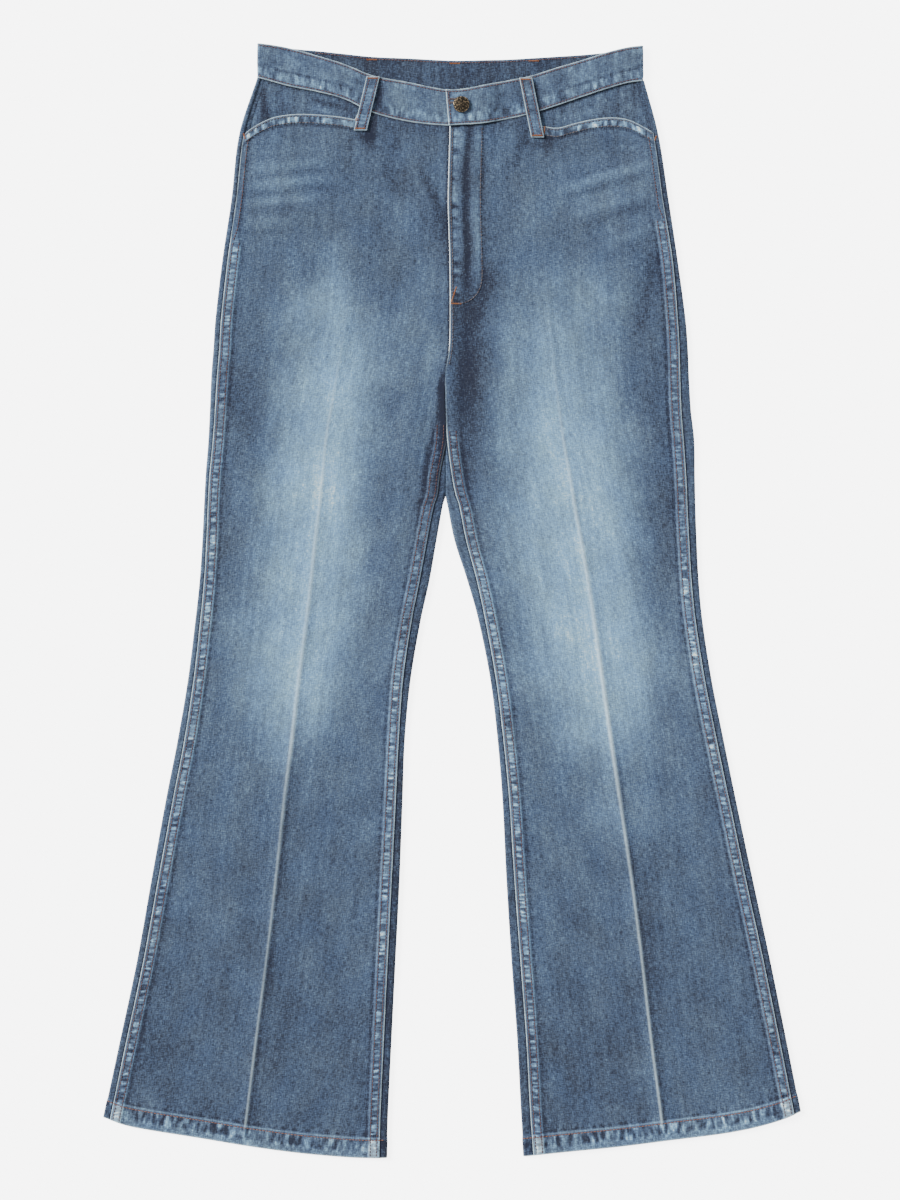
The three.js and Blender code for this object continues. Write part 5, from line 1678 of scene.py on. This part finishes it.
class JEANS_OT_waist_button(bpy.types.Operator):
    """Model the tack button: a turned disc with a rolled rim and a plain dished face"""
    bl_idname = "jeans.waist_button"
    bl_label = "Waist Button"

    def execute(self, context):
        rim = context.scene.jeans_sewing.button_rim
        centre = Vector((BUTTON_X, BUTTON_Y, BUTTON_Z)) * MM
        radius = BUTTON_RADIUS * MM
        bpy.ops.object.select_all(action="DESELECT")
        half = Vector((0, 0, BUTTON_HEIGHT * MM / 2))
        bpy.ops.mesh.primitive_cylinder_add(vertices=56, radius=radius, depth=half.z * 2,
                                            location=centre + half)
        button = context.object
        button.name = "tack_button"
        bpy.ops.object.transform_apply(location=True, rotation=True, scale=True)
        for face in button.data.polygons:
            face.select = face.normal.z > 0.9
        bpy.ops.object.mode_set(mode="EDIT")
        bpy.ops.mesh.select_mode(type="FACE")
        steps = [(share * rim, rise) for share, rise in RIM_STEPS]
        steps += [(step * MM, rise) for step, rise in FACE_STEPS]
        for thickness, rise in steps:
            bpy.ops.mesh.inset(thickness=thickness)
            if rise:
                bpy.ops.transform.translate(value=(0, 0, rise * MM))
        bpy.ops.object.mode_set(mode="OBJECT")
        bevel = button.modifiers.new("rounded", "BEVEL")
        bevel.width, bevel.segments, bevel.limit_method = 0.00018, 2, "ANGLE"
        bevel.angle_limit = math.radians(28)
        bpy.ops.object.modifier_apply(modifier=bevel.name)
        bpy.ops.object.shade_smooth_by_angle(angle=math.radians(50))
        button.data.materials.clear()
        button.data.materials.append(dye("button"))
        bpy.ops.object.select_all(action="DESELECT")
        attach(button, BODY)
        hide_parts("waist_button")
        return {"FINISHED"}


class JEANS_OT_seam_stitches(bpy.types.Operator):
    """Sew the double rows down the outseams and inseams, front and back"""
    bl_idname = "jeans.seam_stitches"
    bl_label = "Seam Stitches"

    def execute(self, context):
        cloth = laid_cloth(*FRONTS, *BACKS)
        for side, leg in LEGS.items():
            needle = threaded(context, cloth)
            for number, distance in enumerate(SEAM_STITCHES):
                def x_out(y):
                    return leg.seam_x(y) + leg.to_inner * distance

                def x_in(y):
                    return in_from_inner(leg, distance, y)

                needle.line(to_hem(leg, x_out, leg.fell_top), leg.seed + number)
                needle.line(to_hem(leg, x_in, leg.inner_top), leg.seed + 10 + number)

            # Above the fell a single row drifts further in
            def x_single(y):
                drifted = mix(2.9, 5.4, smooth(leg.fell_top, leg.fell_top + 16, y))
                return leg.seam_x(y) + leg.to_inner * drifted

            top = float(leg.mouth(leg.seam_x(np.array(MOUTH_Y)))) - 3
            needle.line(down_path(x_single, top, leg.fell_top + 2), leg.seed + 20)
            needle.make(f"seam_stitches_{side}", dye("brown"), "denim_front")
        needle = threaded(context, cloth)
        for leg in LEGS.values():
            for number, distance in enumerate(SEAT_STITCHES):
                def x_seat(y):
                    return leg.inner(y) - leg.to_inner * (distance + 0.4)

                needle.line(down_path(x_seat, SEAT_TOP, SEAT_END), leg.seed + 60 + number, from_above=False)
        needle.make("seat_stitches", dye("orange"), "denim_back")
        return {"FINISHED"}


class JEANS_OT_hem_stitches(bpy.types.Operator):
    """Sew the hems all round"""
    bl_idname = "jeans.hem_stitches"
    bl_label = "Hem Stitches"

    def execute(self, context):
        needle = threaded(context, laid_cloth(*FRONTS, *BACKS))
        for leg in LEGS.values():
            low, high = sorted((float(leg.outer(NEAR_HEM_Y)), float(leg.inner(NEAR_HEM_Y))))
            x = np.arange(low + 1.6, high - 1.4, 4.0)
            path = np.stack([x, leg.hem(x) + HEM_STITCHES], -1)
            needle.line(path, leg.seed + 80)
            needle.line(path[1:-1], leg.seed + 81, from_above=False)
        needle.make("hem_stitches", dye("rust"), "denim_front")
        return {"FINISHED"}


class JEANS_OT_pocket_stitches(bpy.types.Operator):
    """Sew the two rows round each pocket mouth and the curved row that holds the fly"""
    bl_idname = "jeans.pocket_stitches"
    bl_label = "Pocket and Fly Stitches"

    def execute(self, context):
        needle = threaded(context, laid_cloth(*FRONTS))
        for leg in LEGS.values():
            edge = float(leg.seam_x(np.array(MOUTH_Y)))
            x = np.linspace(edge + leg.to_inner * 2, leg.mouth_end - leg.to_inner * 0.5, 60)
            for number, depth in enumerate(MOUTH_STITCHES):
                needle.line(np.stack([x, leg.mouth(x) - depth], -1), leg.seed + 90 + number)
        leg = LEGS["left"]
        turn = np.linspace(0, math.pi / 2, 24)
        y = np.concatenate([np.arange(473.0, FLY_TURN_Y + 2, -4), FLY_TURN_Y - 33.2 * np.sin(turn)])
        distance = np.maximum(fly_edge(np.maximum(y, FLY_TURN_Y - 33.4)), 0.5)
        needle.line(np.stack([in_from_inner(leg, distance, y), y], -1), 131)
        y = np.arange(472.0, 232, -4)
        needle.line(np.stack([in_from_inner(leg, FLY_STITCHES, y), y], -1), 132)
        needle.make("pocket_stitches", dye("blue"), "denim_front")
        return {"FINISHED"}


# The buttonhole's slit, mostly under the button: its height, its two ends and its stitches' reach
SLIT_Y, SLIT_LEFT, SLIT_RIGHT = 499.2, -1.6, 15.0
SLIT_NEAR, SLIT_FAR = 0.5, 3.1


class JEANS_OT_waist_stitches(bpy.types.Operator):
    """Sew both edges of the waistband, its end, the belt loops and the buttonhole"""
    bl_idname = "jeans.waist_stitches"
    bl_label = "Waist Stitches"

    def execute(self, context):
        band = laid_cloth("waistband_denim")
        needle = threaded(context, band)
        front_x = np.arange(WAIST[0][0] + 1.6, WAIST[-1][0] - 1.6, 4.0)
        back_x = front_x[1:-1]
        for number, (edge, inset) in enumerate((("top", -BAND_STITCHES), ("low", BAND_STITCHES))):
            needle.line(edge_path(front_x, f"front_{edge}", inset), 200 + number)
            needle.line(edge_path(back_x, f"back_{edge}", inset), 204 + number, from_above=False)
        shown = back_x[(waist["back_top"](back_x) - waist["front_top"](back_x)) > 4.5]
        needle.line(edge_path(shown, "back_top", -BAND_STITCHES), 210)
        t = np.linspace(0.07, 0.94, 12)
        low, high = float(waist["front_low"](-3.0)), float(waist["front_top"](-6.0))
        end_x = mix(BAND_OVER_END_TOP, BAND_OVER_END_LOW, t)
        needle.line(np.stack([end_x + 2.2, mix(high, low, t)], -1), 212)
        needle.make("waistband_stitches", dye("brown"), "denim_waistband")

        needle = threaded(context, laid_cloth(*LOOP_CLOTH))
        beside = LOOP_WIDTH / 2 - LOOP_STITCHES
        for place, top_x, top_y, foot_x, foot_y, _, _ in LOOPS:
            for number, shift in enumerate((-beside, beside)):
                path = [(top_x + shift, top_y - 2.5), (foot_x + shift, foot_y + 2.5)]
                needle.line(path, int(abs(top_x)) + number, from_above=place.startswith("front"))
        needle.make("belt_loop_stitches", dye("brown"), "denim_loop")

        # Buttonhole: close stitches beside its slit, and round its end
        needle = Needle(band, 0.75, 2.6)
        for x in np.linspace(SLIT_LEFT, SLIT_RIGHT, 24):
            for way in (1, -1):
                start = (x - 0.2 * way, SLIT_Y + SLIT_NEAR * way)
                needle.stitch(start, (x + 0.2 * way, SLIT_Y + SLIT_FAR * way), sink=0.0)
        start = np.array([SLIT_LEFT, SLIT_Y])
        for a in np.linspace(math.pi / 2, math.pi * 3 / 2, 9):
            way = np.array([math.cos(a), math.sin(a)])
            needle.stitch(start + way * SLIT_NEAR, start + way * SLIT_FAR, sink=0.0)
        needle.make("buttonhole_stitches", dye("blue"), "denim_waistband")
        return {"FINISHED"}


# Bartacks on the front, from one end to the other, and those that show inside the band's back
FRONT_TACKS = (
    (-94.0, 490, -95.5, 479.5), (-208.3, 467, -206.6, 461.8), (92.8, 476, 92.2, 467),
    (204.2, 464.5, 202.4, 459.6), (-0.8, 297.2, 9.4, 297.0), (-0.6, 298.6, 4.6, 314.2),
)
BACK_TACKS_X = (-80.0, 3.0, 82.0)


class JEANS_OT_bartacks(bpy.types.Operator):
    """Sew the bartacks on the belt loops, pocket mouths and fly"""
    bl_idname = "jeans.bartacks"
    bl_label = "Bartacks"

    def execute(self, context):
        width = context.scene.jeans_sewing.tack_width / MM
        cloth = laid_cloth(*FRONTS, "waistband_denim", *LOOP_CLOTH, *BACKS)
        needle = Needle(cloth, 0.62, width)
        for place, top_x, top_y, foot_x, foot_y, _, _ in LOOPS:
            above = place.startswith("front")
            for x, y in ((top_x, top_y - 1.6), (foot_x, foot_y + 1.8)):
                needle.bartack((x - 5.2, y), (x + 5.2, y), width, from_above=above)
        for x1, y1, x2, y2 in FRONT_TACKS:
            needle.bartack((x1, y1), (x2, y2), width)
        for x in BACK_TACKS_X:
            y = float(waist["back_top"](x)) - 2.6
            needle.bartack((x - 5, y), (x + 5, y), width)
        needle.make("bartacks", dye("orange"), "denim_loop")
        return {"FINISHED"}


# The floor's size and height in metres, the way to the light, and where the camera stands over the floor
FLOOR_SIZE, FLOOR_HEIGHT = 120, -0.0007
WINDOW_WAY = (-1.25, 0.62, 1.0)
CAMERA_PLACE = (-0.002, 0.00075)


class JEANS_OT_stage(bpy.types.Operator):
    """Set the pale floor, the soft studio lights and the camera straight above"""
    bl_idname = "jeans.stage"
    bl_label = "Stage"

    def execute(self, context):
        stage = context.scene.jeans_stage
        bpy.ops.object.select_all(action="DESELECT")
        bpy.ops.mesh.primitive_plane_add(size=FLOOR_SIZE, location=(0, 0, FLOOR_HEIGHT))
        floor = context.object
        floor.name = "floor"
        bpy.ops.object.transform_apply(location=True, rotation=True, scale=True)
        floor.data.materials.append(floor_material("Plain Floor", stage.floor_colour, stage.floor_glow))

        world = bpy.data.worlds.new("Studio")
        context.scene.world = world
        world.use_nodes = True
        sky = world.node_tree.nodes["Background"]
        set_inputs(sky, {"Color": (0.96, 0.98, 1, 1), "Strength": stage.sky})
        data = bpy.data.lights.new("window", "SUN")
        data.energy, data.angle = stage.key_strength, stage.key_softness
        window = bpy.data.objects.new("window", data)
        window.rotation_euler = (-Vector(WINDOW_WAY)).to_track_quat("-Z", "Y").to_euler()
        context.scene.collection.objects.link(window)

        data = bpy.data.cameras.new("overhead")
        data.lens, data.sensor_width = stage.camera_lens, 36
        data.clip_start, data.clip_end = 0.1, 200
        camera = bpy.data.objects.new("overhead", data)
        camera.location = (*CAMERA_PLACE, stage.camera_height)
        context.scene.collection.objects.link(camera)
        context.scene.camera = camera
        return {"FINISHED"}


class VIEW3D_PT_jeans(bpy.types.Panel):
    """Lists the steps that sew and finish the jeans"""
    bl_label = "Flared Jeans"
    bl_idname = "VIEW3D_PT_jeans"
    bl_space_type = "VIEW_3D"
    bl_region_type = "UI"
    bl_category = "Jeans"

    def draw(self, context):
        for step in STEPS:
            self.layout.operator(step.bl_idname)
        for group in ("jeans_sewing", "jeans_finish", "jeans_stage"):
            settings = getattr(context.scene, group)
            for key in settings.__annotations__:
                self.layout.prop(settings, key)


STEPS = (
    JEANS_OT_stage, JEANS_OT_back_panels, JEANS_OT_front_panels, JEANS_OT_pocket_facings,
    JEANS_OT_waistband, JEANS_OT_belt_loops, JEANS_OT_waist_button, JEANS_OT_seam_stitches,
    JEANS_OT_hem_stitches, JEANS_OT_pocket_stitches, JEANS_OT_waist_stitches, JEANS_OT_bartacks,
)
GROUPS = {"jeans_sewing": JeansSewing, "jeans_finish": JeansFinish, "jeans_stage": JeansStage}


def register():
    for item in (*GROUPS.values(), *STEPS, VIEW3D_PT_jeans):
        bpy.utils.register_class(item)
    for name, group in GROUPS.items():
        setattr(bpy.types.Scene, name, bpy.props.PointerProperty(type=group))


def unregister():
    for name in GROUPS:
        delattr(bpy.types.Scene, name)
    for item in reversed((*GROUPS.values(), *STEPS, VIEW3D_PT_jeans)):
        bpy.utils.unregister_class(item)


def main():
    register()
    for step in STEPS:
        module, name = step.bl_idname.split(".")
        getattr(getattr(bpy.ops, module), name)()


if __name__ == "__main__":
    main()
